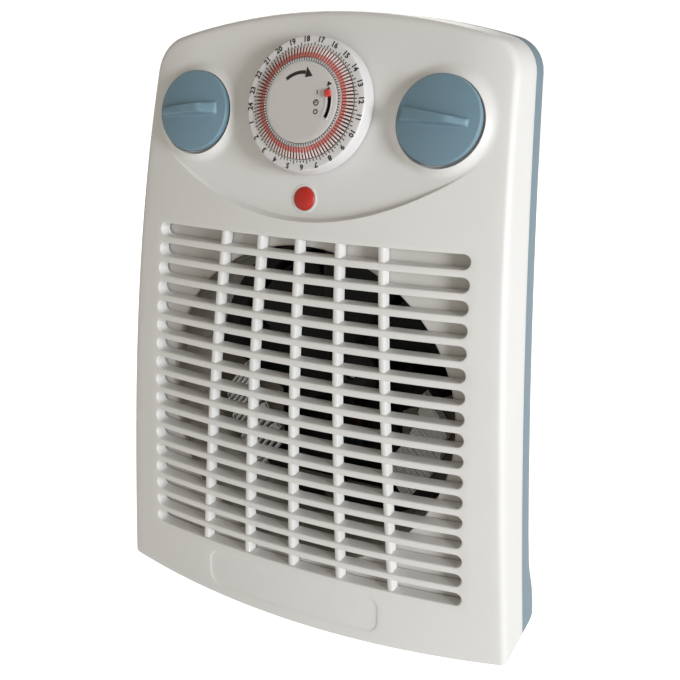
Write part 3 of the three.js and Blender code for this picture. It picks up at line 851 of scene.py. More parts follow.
def in_slot(x, z, grow):
    row = round((SLOT_TOP - SLOT_H / 2 - z) / SLOT_PITCH)
    if not 0 <= row < SLOT_ROWS:
        return False
    dz = z - slot_centre(row)
    dx = max(abs(x) - (slot_end(slot_centre(row)) - SLOT_H / 2), 0)
    return math.hypot(dx, dz) < SLOT_H / 2 + grow


def in_grille(x, z, margin):
    low = slot_centre(SLOT_ROWS - 1) - SLOT_H / 2
    return abs(x) < slot_end(z) + margin and low - margin < z < SLOT_TOP + margin


def front_moulding():
    """The face with its slots, panel, collars and plaque, its rim, sides and inner skin."""
    rnd = settings().slot_round / MM
    depth = settings().slat_depth / MM
    knobs = knob_frames()
    dial = axis_frame("dial_turn", 0)
    lens = lens_frame()
    holes = [(tangent_circle(place, r, n), place, r)
             for place, r, n in ((knobs[0], SHAFT_HOLE, 24), (knobs[1], SHAFT_HOLE, 24),
                                 (dial, DIAL_HOLE, 72), (lens, LENS_HOLE, 40))]
    rim = outline(RIM_R)
    loops = [rim] + [slot_loop(r, rnd) for r in range(SLOT_ROWS)] + [h[0] for h in holes]

    lines = []
    for off in (-2.4, -1.0, -0.55, -0.3, 0, 0.3, 0.55, 1.0, 2.4):
        run = []
        for x in spans(-98, 98, 3.2):
            slope = 2 * ARC_BEND * x
            n = math.sqrt(1 + slope * slope)
            run.append((x - off * slope / n, ARC_Z + ARC_BEND * x * x + off / n))
        lines.append([p for p in run if abs(p[0]) < 100])
    for place in knobs:
        for r in (22.6, 22.7, 22.95, 23.3, 23.9, 24.7, 25.6, 26.7, 28.2, 30):
            ring = tangent_circle(place, r, 80)
            lines.append(ring + ring[:1])
    for r in (7.6, 9.6):
        ring = tangent_circle(lens, r, 36)
        lines.append(ring + ring[:1])
    for grow in (-0.8, -0.3, 0.3, 0.8):
        ring = plaque_loop(grow)
        lines.append(ring + ring[:1])

    points = []
    room = outline(RIM_R + 1.8)
    for z in spans(8, 346, 4.0):
        for x in spans(-128, 128, 4.0):
            if in_grille(x, z, 2.5) or not inside(x, z, room):
                continue
            if abs(arc_distance(x, z)) < 3.4 and abs(x) < 100:
                continue
            if abs(plaque_distance(x, z)) < 2:
                continue
            near = [math.hypot(*(k.inverted() @ Vector((x, surface_y(x, z), z))).xz)
                    for k in (*knobs, dial, lens)]
            if any(6.5 > r or 21.8 < r < 33 for r in near[:2]) or near[2] < 30 or near[3] < 11:
                continue
            points.append((x, z))

    def kept(x, z):
        if not inside(x, z, rim) or in_slot(x, z, rnd * 0.98):
            return False
        for _, place, r in holes:
            local = place.inverted() @ Vector((x, surface_y(x, z), z))
            if math.hypot(local.x, local.z) < r * 0.985:
                return False
        return True

    flat, tris, at = sheet(loops, lines, points, kept)
    used = sorted({i for t in tris for i in t})
    number = {old: new for new, old in enumerate(used)}
    verts = []
    for i in used:
        x, z = flat[i]
        verts.append((x, surface_y(x, z) + front_relief(x, z, knobs), z))
    faces = [tuple(number[i] for i in t) for t in tris]
    count = len(used)

    # Inner skin: the same triangles, behind the wall and behind the slats.
    behind = {}
    for i in used:
        x, z = flat[i]
        thick = WALL + (depth - WALL) * (1 if in_grille(x, z, 3.2) else 0)
        behind[i] = (x, surface_y(x, z) + thick, z)
    for row in range(SLOT_ROWS):
        for i, (x, z) in zip(at[1 + row], slot_loop(row, 0.0)):
            behind[i] = (x, face_y(x, z) + depth, z)
    verts += [behind[i] for i in used]
    faces += [tuple(count + number[i] for i in reversed(t)) for t in tris]

    ring_of = partial(add_ring, verts)

    # Rounded slot edges and slot walls.
    for row in range(SLOT_ROWS):
        rows = [[number[i] for i in at[1 + row]]]
        for a in (25, 50, 72, 90):
            grow = rnd * (1 - math.sin(math.radians(a)))
            back = rnd * (1 - math.cos(math.radians(a)))
            rows.append(ring_of([(x, face_y(x, z) + back, z) for x, z in slot_loop(row, grow)]))
        rows.append(ring_of([(x, face_y(x, z) + depth * 0.6, z) for x, z in slot_loop(row, 0)]))
        rows.append([count + number[i] for i in at[1 + row]])
        faces += bridge(rows, True)

    # Walls of the control holes.
    for k, (loop, place, r) in enumerate(holes):
        front = at[1 + SLOT_ROWS + k]
        faces += bridge([[number[i] for i in front], [count + number[i] for i in front]], True)

    # Rounded rim, side walls, seam edge and inner wall.
    def rim_row(inset, y):
        return ring_of([(x, y(x, z), z) for x, z in outline(inset)])

    rows = [[number[i] for i in at[0]]]
    for a in (18, 36, 54, 72, 90):
        s, c = math.sin(math.radians(a)), math.cos(math.radians(a))
        rows.append(rim_row(RIM_R * (1 - s), lambda x, z, c=c: surface_y(x, z) + RIM_R * (1 - c)))
    for t in (0.12, 0.3, 0.5, 0.7, 0.88):
        rows.append(rim_row(0, lambda x, z, t=t: (surface_y(x, z) + RIM_R) * (1 - t)
                            + (seam_y(z) - 0.8) * t))
    for inset, back in ((0, 0.8), (0.12, 0.45), (0.45, SEAM_HALF), (WALL, SEAM_HALF)):
        rows.append(rim_row(inset, lambda x, z, b=back: seam_y(z) - b))
    rows.append(rim_row(WALL, lambda x, z: (surface_y(x, z) + seam_y(z)) / 2))
    rows.append(rim_row(WALL, lambda x, z: surface_y(x, z) + WALL + 1.6))
    rows.append([count + number[i] for i in at[0]])
    faces += bridge(rows, True)
    return verts, faces


def upright_rib(side, wide):
    """A rib behind the slats that splays outwards towards the bottom."""
    half = settings().rib_width / MM / 2
    path = []
    for z in spans(38, 238, 8):
        s = level(z)
        x = side * (53.9 - 11.16 * s if wide else 26.64 - 5.5 * s)
        path.append((Vector((x, face_y(x, z) + 1.2, z)), Vector((1, 0, 0)), Vector((0, 1, 0))))
    section = [(-half, 6.8), (-half, 1.1), (-half + 0.32, 0.32), (-half + 1.1, 0),
               (half - 1.1, 0), (half - 0.32, 0.32), (half, 1.1), (half, 6.8)]
    return swept(path, section)


class HEATER_OT_front(bpy.types.Operator):
    """Front moulding with grille, control panel and knob collars"""

    bl_idname = "heater.front"
    bl_label = "Front Moulding"

    def execute(self, context):
        mould = Mould().add(front_moulding())
        for side, wide in ((0, False), (-1, False), (1, False), (-1, True), (1, True)):
            mould.add(upright_rib(side, wide))
        for x, z in POSTS.values():
            y = surface_y(x, z) + (9.5 if z < 100 else 0)
            profile = [(0, y + 30), (2.3, y + 30), (2.3, 62), (2.7, 62.4), (4.2, 62.4),
                       (4.6, 62), (4.6, y + 1.8), (0, y + 1.8)]
            mould.add(turned(profile, 32), Matrix.Translation((x, 0, z)))
        bezel = [(6.37, 1.6), (6.37, -0.1), (6.5, -0.24), (7.4, -0.26), (7.9, 0.02), (8.0, 0.5)]
        mould.add(turned(rounded(bezel, 0.15, 2), 64), lens_frame())
        make_piece("front_moulding", mould, "housing", ["White moulding"],
                   ["front_shell"], angle=38)
        return {"FINISHED"}


# ------------------------------------------------------------------ rear moulding
def flare(z):
    return 7 * min(max((50 - z) / 24, 0), 1)


def rear_rows(t):
    """Rings of the rear moulding from the seam to the back panel, t inside the surface."""
    def ring(d, y):
        return [(x, y(x, z), z) for x, z in outline(d + t, 0.15 * d + t)]

    return [
        ring(0, lambda x, z: seam_y(z) + (SEAM_HALF if t == 0 else -6)),
        ring(0.6, lambda x, z: seam_y(z) + 14 + flare(z) - t * 0.3),
        ring(6, lambda x, z: seam_y(z) + 23 + flare(z) - t * 0.6),
        ring(16, lambda x, z: 47 - t + 3 * level(z)),
        ring(26, lambda x, z: 62.5 - t),
        ring(30, lambda x, z: BACK_Y - t),
    ]


def rear_moulding():
    """The rear tub with its intake slots, screw recesses and cable hole."""
    verts, faces = [], []

    ring_of = partial(add_ring, verts)

    slot_r = 3.5
    slots = [(i * 13.0, 137.0) for i in range(-5, 6)]
    soft = 0.8
    gx, _, gz = box_middle("cable_gland")

    def upright(cx, cz, grow):
        flat = stadium(0, 0, 59 - slot_r, slot_r + grow, 20, 8)
        return [(cx - v, cz + u) for u, v in flat]

    skins = []
    for t in (0, WALL):
        keys = rear_rows(t)
        rows = []
        steps = 30
        for k in range(steps + 1):
            points_at = spline(keys, k / steps)
            if t == 0 and k == 0:
                points_at = [(x * 0.9965, y, 170 + (z - 170) * 0.9965) for x, y, z in points_at]
            rows.append(ring_of([(x, min(y, BACK_Y - t), z) for x, y, z in points_at]))
        edge = [(x, z) for x, z in outline(31.5 + t, 0.15 * 31.5 + t)]
        loops = [edge] + [upright(x, z, soft if t == 0 else 0) for x, z in slots]
        loops += [circle(4.0 if t == 0 else 2.4, 32, x, z) for x, z in POSTS.values()]
        loops.append(circle(6.4, 40, gx, gz))

        def kept(x, z, loops=loops):
            return inside(x, z, loops[0]) and not any(inside(x, z, p) for p in loops[1:])

        points = [(x, z) for x in spans(-90, 90, 9) for z in spans(20, 320, 9)
                  if inside(x, z, edge) and not (abs(x) < 72 and 74 < z < 200)
                  and all(math.hypot(x - px, z - pz) > 7 for px, pz in POSTS.values())
                  and math.hypot(x - gx, z - gz) > 9]
        flat, tris, at = sheet(loops, [], points, kept)
        base = len(verts)
        verts.extend((x, BACK_Y - t, z) for x, z in flat)
        faces.extend(tuple(base + i for i in tri) for tri in tris)
        at = [[base + i for i in loop] for loop in at]
        faces.extend(bridge(rows + [at[0]], True))
        skins.append((rows[0], at))

    (seam, outer), (lip, inner) = skins
    for k, (x, z) in enumerate(slots):
        rows = [outer[1 + k]]
        for a in (30, 60, 90):
            grow = soft * (1 - math.sin(math.radians(a)))
            back = soft * (1 - math.cos(math.radians(a)))
            rows.append(ring_of([(p, BACK_Y - back, q) for p, q in upright(x, z, grow)]))
        rows.append(inner[1 + k])
        faces += bridge(rows, True)
    for k, (x, z) in enumerate(POSTS.values()):
        at = 1 + len(slots) + k
        floor = ring_of([(p, BACK_Y - 1.8, q) for p, q in circle(4.0, 32, x, z)])
        bore = ring_of([(p, BACK_Y - 1.8, q) for p, q in circle(2.4, 32, x, z)])
        faces += bridge([outer[at], floor, bore, inner[at]], True)
    faces += bridge([outer[-1], inner[-1]], True)
    step = ring_of([(x, seam_y(z) + 0.6, z) for x, z in outline(WALL)])
    faces += bridge([seam, step, lip], True)
    return verts, faces


class HEATER_OT_rear(bpy.types.Operator):
    """Rear moulding with the air intake"""

    bl_idname = "heater.rear"
    bl_label = "Rear Moulding"

    def execute(self, context):
        mould = Mould().add(rear_moulding())
        make_piece("rear_moulding", mould, "housing", ["Blue moulding"],
                   ["rear_shell"], angle=35)
        return {"FINISHED"}


# ------------------------------------------------------------------ fixings
class HEATER_OT_fixings(bpy.types.Operator):
    """Screws, cable gland and feet"""

    bl_idname = "heater.fixings"
    bl_label = "Fixings"

    def execute(self, context):
        for name, (x, z) in POSTS.items():
            head = Mould()
            profile = [(0, 36), (1.0, 36), (2, 38)]
            y = 39.0
            while y < 60:
                profile += [(2.0, y), (1.6, y + 0.5), (2.0, y + 1.0)]
                y += 1.4
            profile += [(2, 62), (2, BACK_Y - 1.5)]
            profile += rounded([(2, BACK_Y - 1.5), (3.6, BACK_Y - 1.5), (3.6, BACK_Y - 0.8),
                                (2.6, BACK_Y - 0.25), (0, BACK_Y - 0.2)], 0.3, 3)[1:]
            head.add(turned(profile, 28), Matrix.Translation((x, 0, z)))
            # Black cross on the head: painted shade standing for the cross recess.
            for turn in (20, 110):
                spin = turn_y(turn)
                place = Matrix.Translation((x, 0, z)) @ spin
                head.add(block(-1.9, 1.9, BACK_Y - 0.6, BACK_Y - 0.14, -0.36, 0.36, 0.08),
                         place, 1)
            make_piece(name + "_detail", head, "housing", ["Zinc plate", "Printed black"],
                       [name])

        x, _, z = box_middle("cable_gland")
        profile = rounded([(3.4, BACK_Y - 5), (8, BACK_Y - 5), (8, BACK_Y - 2.95),
                           (6.1, BACK_Y - 2.95), (6.1, BACK_Y - 0.9), (4.6, BACK_Y - 0.1),
                           (3.4, BACK_Y - 0.1), (3.4, BACK_Y - 5)], 0.35, 3)
        gland = Mould().add(turned(profile, 48), Matrix.Translation((x, 0, z)))
        for k in range(12):
            spin = turn_y(30 * k)
            gland.add(block(4.7, 5.7, BACK_Y - 1.3, BACK_Y - 0.35, -0.4, 0.4, 0.15),
                      Matrix.Translation((x, 0, z)) @ spin)
        make_piece("cable_gland_detail", gland, "housing", ["Black moulding"],
                   ["cable_gland"])

        for name in ("foot_front_left", "foot_front_right", "foot_rear_left",
                     "foot_rear_right"):
            cx, cy, _ = box_middle(name)
            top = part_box(name)[1].z / MM
            profile = rounded([(0, 0.5), (3.4, 0.5), (4.0, 0), (6.6, 0), (7.6, 0.4),
                               (8.35, 1.4), (8.35, top - 0.9), (7.9, top), (0, top)], 0.35, 3)
            foot = Mould().add(turned(profile, 40),
                               Matrix.Translation((cx, cy, 0))
                               @ Matrix.Rotation(math.radians(90), 4, "X"))
            make_piece(name + "_pad", foot, "housing", ["Foot rubber"], [name])
        return {"FINISHED"}


# ------------------------------------------------------------------ air path
def duct_moulding_mesh():
    """The baffle behind the grille and the round duct behind it."""
    ring_n = 96
    hole = circle(DUCT_R, ring_n, 0, FAN_Z)
    edge = []
    z0, z1 = 38.0, 238.6
    for x in spans(-1, 1, 0.08):
        edge.append((x * (slot_end(z0) + 4.6), z0))
    for z in spans(z0, z1, 9)[1:]:
        edge.append((slot_end(z) + 4.6, z))
    for x in spans(-1, 1, 0.08)[1:]:
        edge.append((-x * (slot_end(z1) + 4.6), z1))
    for z in spans(z0, z1, 9)[1:-1]:
        edge.append((-(slot_end(z0 + z1 - z) + 4.6), z0 + z1 - z))
    points = [(x, z) for x in spans(-100, 100, 8) for z in spans(44, 234, 8)
              if math.hypot(x, z - FAN_Z) > DUCT_R + 3]

    def kept(x, z):
        return inside(x, z, edge) and math.hypot(x, z - FAN_Z) > DUCT_R * 0.999

    flat, tris, at = sheet([edge, hole], [], points, kept)
    used = sorted({i for t in tris for i in t})
    number = {old: new for new, old in enumerate(used)}
    count = len(used)
    verts = [(flat[i][0], face_y(*flat[i]) + BAFFLE_FRONT, flat[i][1]) for i in used]
    verts += [(flat[i][0], face_y(*flat[i]) + BAFFLE_BACK, flat[i][1]) for i in used]
    faces = [tuple(number[i] for i in t) for t in tris]
    faces += [tuple(count + number[i] for i in reversed(t)) for t in tris]
    rim = [number[i] for i in at[0]]
    faces += bridge([rim, [count + i for i in rim]], True)

    lip = [face_y(*p) + BAFFLE_FRONT for p in hole]
    tube_verts, rows = [], []

    def ring_of(r, y):
        row = []
        for k, (x, z) in enumerate(circle(r, ring_n, 0, FAN_Z)):
            row.append(len(tube_verts))
            tube_verts.append((x, y(k), z))
        rows.append(row)

    ring_of(DUCT_R + 1.7, lambda k: lip[k] + 1.0)
    ring_of(DUCT_R + 0.5, lambda k: lip[k] - 0.1)
    ring_of(DUCT_R, lambda k: lip[k] + 0.5)
    for t in (0.2, 0.4, 0.6, 0.8):
        ring_of(DUCT_R, lambda k, t=t: lip[k] * (1 - t) + 6 * t)
    ring_of(DUCT_R, lambda k: 6)
    ring_of(DUCT_R + 1.7, lambda k: 6)
    tube = (tube_verts, bridge(rows, True, True))
    return (verts, faces), tube


def fan_blade(angle):
    """One twisted blade with an aerofoil section."""
    outer = settings().fan_radius / MM
    rows, verts = [], []
    for k in range(13):
        t = k / 12
        r = 15 + (outer - 15) * t
        chord = 25 + 33 * t
        pitch = math.asin(15.5 / chord)
        sweep = math.radians(8 * t * t)
        row = []
        for j in range(20):
            a = 2 * math.pi * j / 20
            u = math.cos(a)
            thick = 0.9 * math.sin(a) * (0.55 + 0.45 * u) + 0.9 * (1 - u * u)
            du, dv = u * chord / 2, thick
            ax = du * math.cos(pitch) - dv * math.sin(pitch)
            ay = du * math.sin(pitch) + dv * math.cos(pitch)
            row.append(len(verts))
            verts.append((ax * math.cos(sweep) + r * math.sin(sweep), 19.5 + ay,
                          r * math.cos(sweep) - ax * math.sin(sweep)))
        rows.append(row)
    faces = bridge(rows, True) + [tuple(reversed(rows[0])), tuple(rows[-1])]
    limit = []
    for x, y, z in verts:
        r = math.hypot(x, z)
        k = min(1.0, outer / r)
        limit.append((x * k, min(max(y, 10.6), 28.4), z * k))
    spin = turn_y(angle)
    return [spin @ Vector(v) for v in limit], faces


class HEATER_OT_air_path(bpy.types.Operator):
    """Baffle, air duct, fan and its guard"""

    bl_idname = "heater.air_path"
    bl_label = "Air Path"

    def execute(self, context):
        baffle, tube = duct_moulding_mesh()
        # The tube and its ribs take the darker duct finish, painted shade inside the duct.
        mould = Mould().add(baffle).add(tube, None, 1)
        for k in range(16):
            spin = turn_y(22.5 * k + 11)
            mould.add(block(DUCT_R - 0.7, DUCT_R + 0.4, -34, 5.6, -0.8, 0.8, 0.2),
                      Matrix.Translation((0, 0, FAN_Z)) @ spin, 1)
        make_piece("air_duct_detail", mould, "housing",
                   ["Baffle moulding", "Duct moulding"],
                   ["air_duct"], angle=40)

        place = Matrix.Translation((0, 0, FAN_Z))
        fan = Mould()
        hub = rounded([(3.3, 13), (3.3, 11.2), (11, 11.0), (18, 15), (18, 28), (3.3, 28)], 2.2, 5)
        fan.add(turned(hub, 64), place)
        for k in range(7):
            fan.add(fan_blade(360 * k / 7), place)
        for k in range(6):
            spin = turn_y(60 * k)
            fan.add(block(5, 16.5, 16, 18, -0.6, 0.6, 0.2), place @ spin)
        make_piece("fan_wheel", fan, "fan", ["Fan moulding"], ["fan_impeller"])

        guard = Mould()
        guard.add(turned(rounded([(82, 6.4), (93.6, 6.4), (93.6, 8.3), (84, 8.3), (84, 34),
                                  (82, 34), (82, 6.4)], 0.6, 3), 96), place)
        guard.add(turned(rounded([(8, 31), (22, 31), (22, 34), (8, 34), (8, 31)], 0.6, 3), 48),
                  place)
        for a in (45, 135, 225, 315):
            spin = turn_y(a)
            guard.add(block(16, 83, 31, 34, -4, 4, 0.6), place @ spin)
            guard.add(block(21, 82.4, 30, 31.6, -0.8, 0.8, 0.3), place @ spin)
        make_piece("fan_guard", guard, "housing", ["Black moulding"],
                   ["fan_shroud"])
        return {"FINISHED"}


# ------------------------------------------------------------------ heating element
class HEATER_OT_element(bpy.types.Operator):
    """Zigzag ribbons on their boards"""

    bl_idname = "heater.element"
    bl_label = "Heating Element"

    def execute(self, context):
        folds = settings().folds
        for side, word in ((-1, "left"), (1, "right")):
            node = f"heating_ribbon_{word}"
            y_mid = box_middle(node)[1]
            mould = Mould()
            slant = math.radians(-52)
            points = []
            for k in range(folds + 1):
                a = math.radians(-3 - 47 * k / folds)
                cx, cz = 67 * math.cos(a), 67 * math.sin(a)
                reach = 12.5
                while math.hypot(cx + reach * math.cos(slant), cz + reach * math.sin(slant)) > 86:
                    reach -= 0.5
                ends = [(cx - reach * math.cos(slant), cz - reach * math.sin(slant)),
                        (cx + reach * math.cos(slant), cz + reach * math.sin(slant))]
                points += [(side * x, z) for x, z in (ends if k % 2 else ends[::-1])]
            path = []
            for i, (x, z) in enumerate(points):
                ahead = points[min(i + 1, len(points) - 1)]
                back = points[max(i - 1, 0)]
                along = Vector((ahead[0] - back[0], 0, ahead[1] - back[1])).normalized()
                across = Vector((-along.z, 0, along.x))
                path.append((Vector((x, y_mid, z + FAN_Z)), across, Vector((0, 1, 0))))
            mould.add(swept(path, [(-0.6, -2.4), (0.6, -2.4), (0.6, 2.4), (-0.6, 2.4)]))
            for layer in (-4.4, 4.4):
                coil = [(x, y_mid + layer, z + FAN_Z) for x, z in points]
                mould.add(wire(coil, 0.5, 6))
            # The ribbons carry the painted highlight finish.
            make_piece(f"element_{word}", mould, "housing", ["Bright ribbon"], [node],
                       angle=60)
        return {"FINISHED"}


# ------------------------------------------------------------------ rotary controls
def knob_mesh(tilt, taper):
    """A domed cap with an arched finger fin, one closed skin about the local Y axis."""
    radius, rim_y, dome = 22.2, 4.9, 2.3
    top_r = radius - 0.9
    fin_left, fin_right, ridge_end = -18.6, 16.2, 7.2
    turn = math.radians(tilt)
    middle, reach = (fin_left + fin_right) / 2, (fin_right - fin_left) / 2

    def dome_y(r):
        return -(rim_y + 0.9 + dome * (1 - (r / top_r) ** 2))

    def fin_half(u):
        """Half the fin's thickness along its length."""
        return 2.6 + taper * (u - middle) / reach

    def along(u, v):
        return u * math.cos(turn) - v * math.sin(turn), u * math.sin(turn) + v * math.cos(turn)

    def fin_loop(grow):
        run = []
        for u in spans(fin_left - grow, fin_right + grow, 1.7):
            run.append((u, -fin_half(u) - grow))
        return [along(*p) for p in run + [(u, -v) for u, v in reversed(run)]]

    def fin_distance(x, z):
        u = x * math.cos(turn) + z * math.sin(turn)
        v = z * math.cos(turn) - x * math.sin(turn)
        qu, qv = abs(u - middle) - reach, abs(v) - fin_half(u)
        return math.hypot(max(qu, 0), max(qv, 0)) + min(max(qu, qv), 0), u

    def fin_rise(x, z):
        """Height of the fin: an arch to the ridge, then a flat facet down to the tip."""
        d, u = fin_distance(x, z)
        base = -dome_y(math.hypot(x, z))
        if u < ridge_end:
            ridge = 12.9 - 3.1 * ((ridge_end - u) / (ridge_end - fin_left)) ** 1.7
        else:
            ridge = 12.9 - 4.6 * (u - ridge_end) / (fin_right - ridge_end)
        return max(ridge - base, 0) * smooth((0.75 - d) / 1.3)

    loops = [circle(top_r, 96)]
    lines = []
    for grow in (-0.6, -0.3, 0, 0.3, 0.6, 0.8):
        run = fin_loop(grow)
        lines.append(run + run[:1])
    points = []
    for x in spans(-21, 21, 1.6):
        for z in spans(-21, 21, 1.6):
            if math.hypot(x, z) > top_r - 0.9:
                continue
            if abs(fin_distance(x, z)[0]) > 1.3:
                points.append((x, z))
    flat, tris, at = sheet(loops, lines, points, lambda x, z: math.hypot(x, z) < top_r)
    verts = [(x, dome_y(math.hypot(x, z)) - fin_rise(x, z), z) for x, z in flat]
    faces = list(tris)

    def ring_of(r, y):
        return add_ring(verts, [(x, y, z) for x, z in circle(r, 96)])

    rows = [at[0]]
    for a in (20, 40, 60, 80, 90):
        s, c = math.sin(math.radians(a)), math.cos(math.radians(a))
        rows.append(ring_of(top_r + 0.9 * s, -(rim_y + 0.9 * c)))
    rows += [ring_of(radius, -2.4), ring_of(radius - 0.3, -2.2), ring_of(radius - 0.3, -1.5),
             ring_of(radius - 0.8, -1.2), ring_of(3.4, -1.2), ring_of(3.4, -3.6)]
    faces += bridge(rows, True)
    faces.append(tuple(rows[-1]))
    return verts, faces


class HEATER_OT_knobs(bpy.types.Operator):
    """Selector and thermostat knobs"""

    bl_idname = "heater.knobs"
    bl_label = "Knobs"

    def execute(self, context):
        for word, tilt, taper in (("selector", 5.5, 0.35), ("thermostat", -5.5, -1.0)):
            mould = Mould().add(knob_mesh(tilt, taper), axis_frame(f"{word}_turn", 0))
            make_piece(f"{word}_cap", mould, word, ["Knob moulding"],
                       [f"{word}_knob"], angle=50)
        return {"FINISHED"}


# ------------------------------------------------------------------ day timer
FRONT = -9.4  # front of the numeral ring
DISC_FRONT = -12.9  # front of the centre disc
SWITCH_ARC = 16.3  # radius the override switch moves on
SWITCH_HALF = 17.0  # its angle from the middle of the slot at rest, in degrees
TAPPET_RISE = 0.75
DIAL_SET = 4.4  # turn of the numeral ring at rest, in degrees


def radial(place, angle, radius, y):
    """Frame on the dial at an angle, its Z pointing outwards along the radius."""
    spin = turn_y(90 - angle)
    return place @ spin @ Matrix.Translation((0, y, radius))


def cone_y(r):
    """Front of the tappet cone at a radius."""
    return FRONT - 2.2 * min(max((29.2 - r) / 6.6, 0), 1)


class HEATER_OT_timer(bpy.types.Operator):
    """Day timer: numeral ring, tappets, centre disc and override switch"""

    bl_idname = "heater.timer"
    bl_label = "Day Timer"

    def execute(self, context):
        place = axis_frame("dial_turn", 0)
        profile = [(21.12, -3), (25, -3), (25, 6.6), (27.5, 6.6), (27.5, -0.6), (35.6, -0.6),
                   (36.0, -1.2), (36.0, -2.4), (35.1, -8.2), (34.5, FRONT), (29.2, FRONT),
                   (28.9, -9.1), (23.0, -11.2), (22.8, -12.3), (21.12, -12.3), (21.12, -3)]
        ring = Mould().add(turned(rounded(profile, 0.6, 4), 144), place)
        make_piece("timer_ring", ring, "dial", ["Timer white"], ["timer_dial"],
                   angle=40)

        # Black floor under the tappets as painted shadow between them, printed ticks and the hour
        # numerals.
        print_and_shadow = Mould()
        floor = [(28.95, -9.5), (28.9, -9.62), (23.0, -11.55), (22.9, -11.4)]
        print_and_shadow.add(turned(floor, 144), place)
        for k in range(96):
            a = 360 * k / 96 + DIAL_SET + 3.75 / 2
            long = 1.9 if k % 4 == 1 else 1.1
            print_and_shadow.add(block(-0.26, 0.26, -0.06, 0.05, 29.4, 29.4 + long, 0.03, 1),
                       radial(place, a, 0, FRONT))
            print_and_shadow.add(block(-0.27, 0.27, -0.08, 0.05, 21.4, 22.6, 0.03, 1),
                       radial(place, a, 0, -12.3))
        for hour in range(1, 25):
            a = 90 + (hour - 18) * 15 + DIAL_SET
            print_and_shadow.add(figures(str(hour), 4.0), radial(place, a, 32.75, FRONT - 0.02))
        make_piece("timer_print", print_and_shadow, "dial", ["Printed black"])

        # Tappets: a red shoulder towards the centre and a pale tip outside, the tip a paler copy
        # of the red as painted highlight.
        fingers = Mould()
        count = settings().tappets
        for k in range(count):
            a = 360 * k / count + DIAL_SET
            for r0, r1, half, finish in ((23.1, 25.7, 0.56, 0), (25.5, 28.8, 0.47, 1)):
                part, rows = [], []
                for r in (r0, (r0 + r1) / 2, r1):
                    y = cone_y(r) - 0.35
                    half_here = half * r / ((r0 + r1) / 2)
                    row = []
                    for u, v in ((-1, 0), (-1, 0.75), (-0.7, 1), (0.7, 1), (1, 0.75), (1, 0)):
                        row.append(len(part))
                        part.append((u * half_here, y - v * TAPPET_RISE + 0.05, r))
                    rows.append(row)
                faces = bridge(rows, True)
                faces += [tuple(rows[0]), tuple(reversed(rows[-1]))]
                fingers.add((part, faces), radial(place, a, 0, 0), finish)
        make_piece("timer_fingers", fingers, "dial", ["Tappet red", "Tappet tip"],
                   ["timer_tappets"], angle=30)

        self.centre(place)
        return {"FINISHED"}

    def centre(self, place):
        half, arc = 1.3, SWITCH_HALF + 10
        slot = []
        for radius, way in ((SWITCH_ARC + half, 1), (SWITCH_ARC - half, -1)):
            for k in range(17):
                a = math.radians(way * (2 * arc * k / 16 - arc))
                slot.append((radius * math.cos(a), radius * math.sin(a)))
        edge = circle(20.5, 96)
        points = [(x, z) for x in spans(-18, 18, 3) for z in spans(-18, 18, 3)
                  if math.hypot(x, z) < 19 and not (x > 14 and abs(z) < 10)]
        flat, tris, at = sheet([edge, slot], [], points,
                               lambda x, z: inside(x, z, edge) and not inside(x, z, slot))
        verts = [(x, DISC_FRONT, z) for x, z in flat]
        faces = list(tris)
        n = len(verts)
        verts += [(x, DISC_FRONT + 1.6, z) for x, z in flat]
        faces += [tuple(n + i for i in reversed(t)) for t in tris]

        def ring_of(points_at, y):
            return add_ring(verts, [(x, y, z) for x, z in points_at])

        rows = [at[0], ring_of(circle(20.78, 96), DISC_FRONT + 0.1),
                ring_of(circle(20.9, 96), DISC_FRONT + 0.4),
                ring_of(circle(20.9, 96), DISC_FRONT + 1.5), [n + i for i in at[0]]]
        faces += bridge(rows, True)
        faces += bridge([at[1], [n + i for i in at[1]]], True)
        disc = Mould().add((verts, faces), place)
        rim = [(SWITCH_ARC + half) + 0.55, (SWITCH_ARC + half) + 0.1]
        disc.add(band(rim[1], rim[0], DISC_FRONT - 0.25, DISC_FRONT + 0.2, -arc - 2, arc + 2, 16,
                      0.1), place)
        disc.add(band(SWITCH_ARC - half - 0.9, SWITCH_ARC - half - 0.1, DISC_FRONT - 0.25,
                      DISC_FRONT + 0.2, -arc - 2, arc + 2, 16, 0.1), place)
        make_piece("timer_disc", disc, "housing", ["Timer grey"],
                   ["timer_centre"], angle=30)

        marks_and_shade = Mould()
        top = DISC_FRONT - 0.08
        # Turning arrow.
        marks_and_shade.add(band(14.2, 16.0, top, DISC_FRONT + 0.05, 86, 131, 16), place)
        tip = [(5.3, 13.2), (0.9, 12.5), (1.6, 18.0)]
        marks_and_shade.add(slab(tip, top, DISC_FRONT + 0.05), place)
        marks_and_shade.add(slab([(14.6, 10.8), (14.3, 8.2), (17.0, 9.6)], top, DISC_FRONT + 0.05), place)
        # Black band under the switch slot: painted shade in the slot.
        marks_and_shade.add(band(SWITCH_ARC - 4, SWITCH_ARC + 4, -8.78, -8.52, -arc - 14, arc + 14, 20),
                  place)
        # On, timed and off signs beside the slot.
        marks_and_shade.add(block(8.7, 9.25, top, DISC_FRONT + 0.05, 3.9, 6.2, 0.05, 1), place)
        for x, z, r in ((8.9, -0.1, 1.6), (9.1, -4.7, 1.35)):
            marks_and_shade.add(turned([(r - 0.55, DISC_FRONT + 0.05), (r - 0.55, top), (r, top),
                              (r, DISC_FRONT + 0.05)], 28),
                      place @ Matrix.Translation((x, 0, z)))
        marks_and_shade.add(block(8.72, 9.08, top, DISC_FRONT + 0.05, -0.1, 1.2, 0.04, 1), place)
        marks_and_shade.add(block(8.0, 9.08, top, DISC_FRONT + 0.05, -0.28, 0.08, 0.04, 1), place)
        make_piece("timer_marks", marks_and_shade, "housing", ["Printed black"])

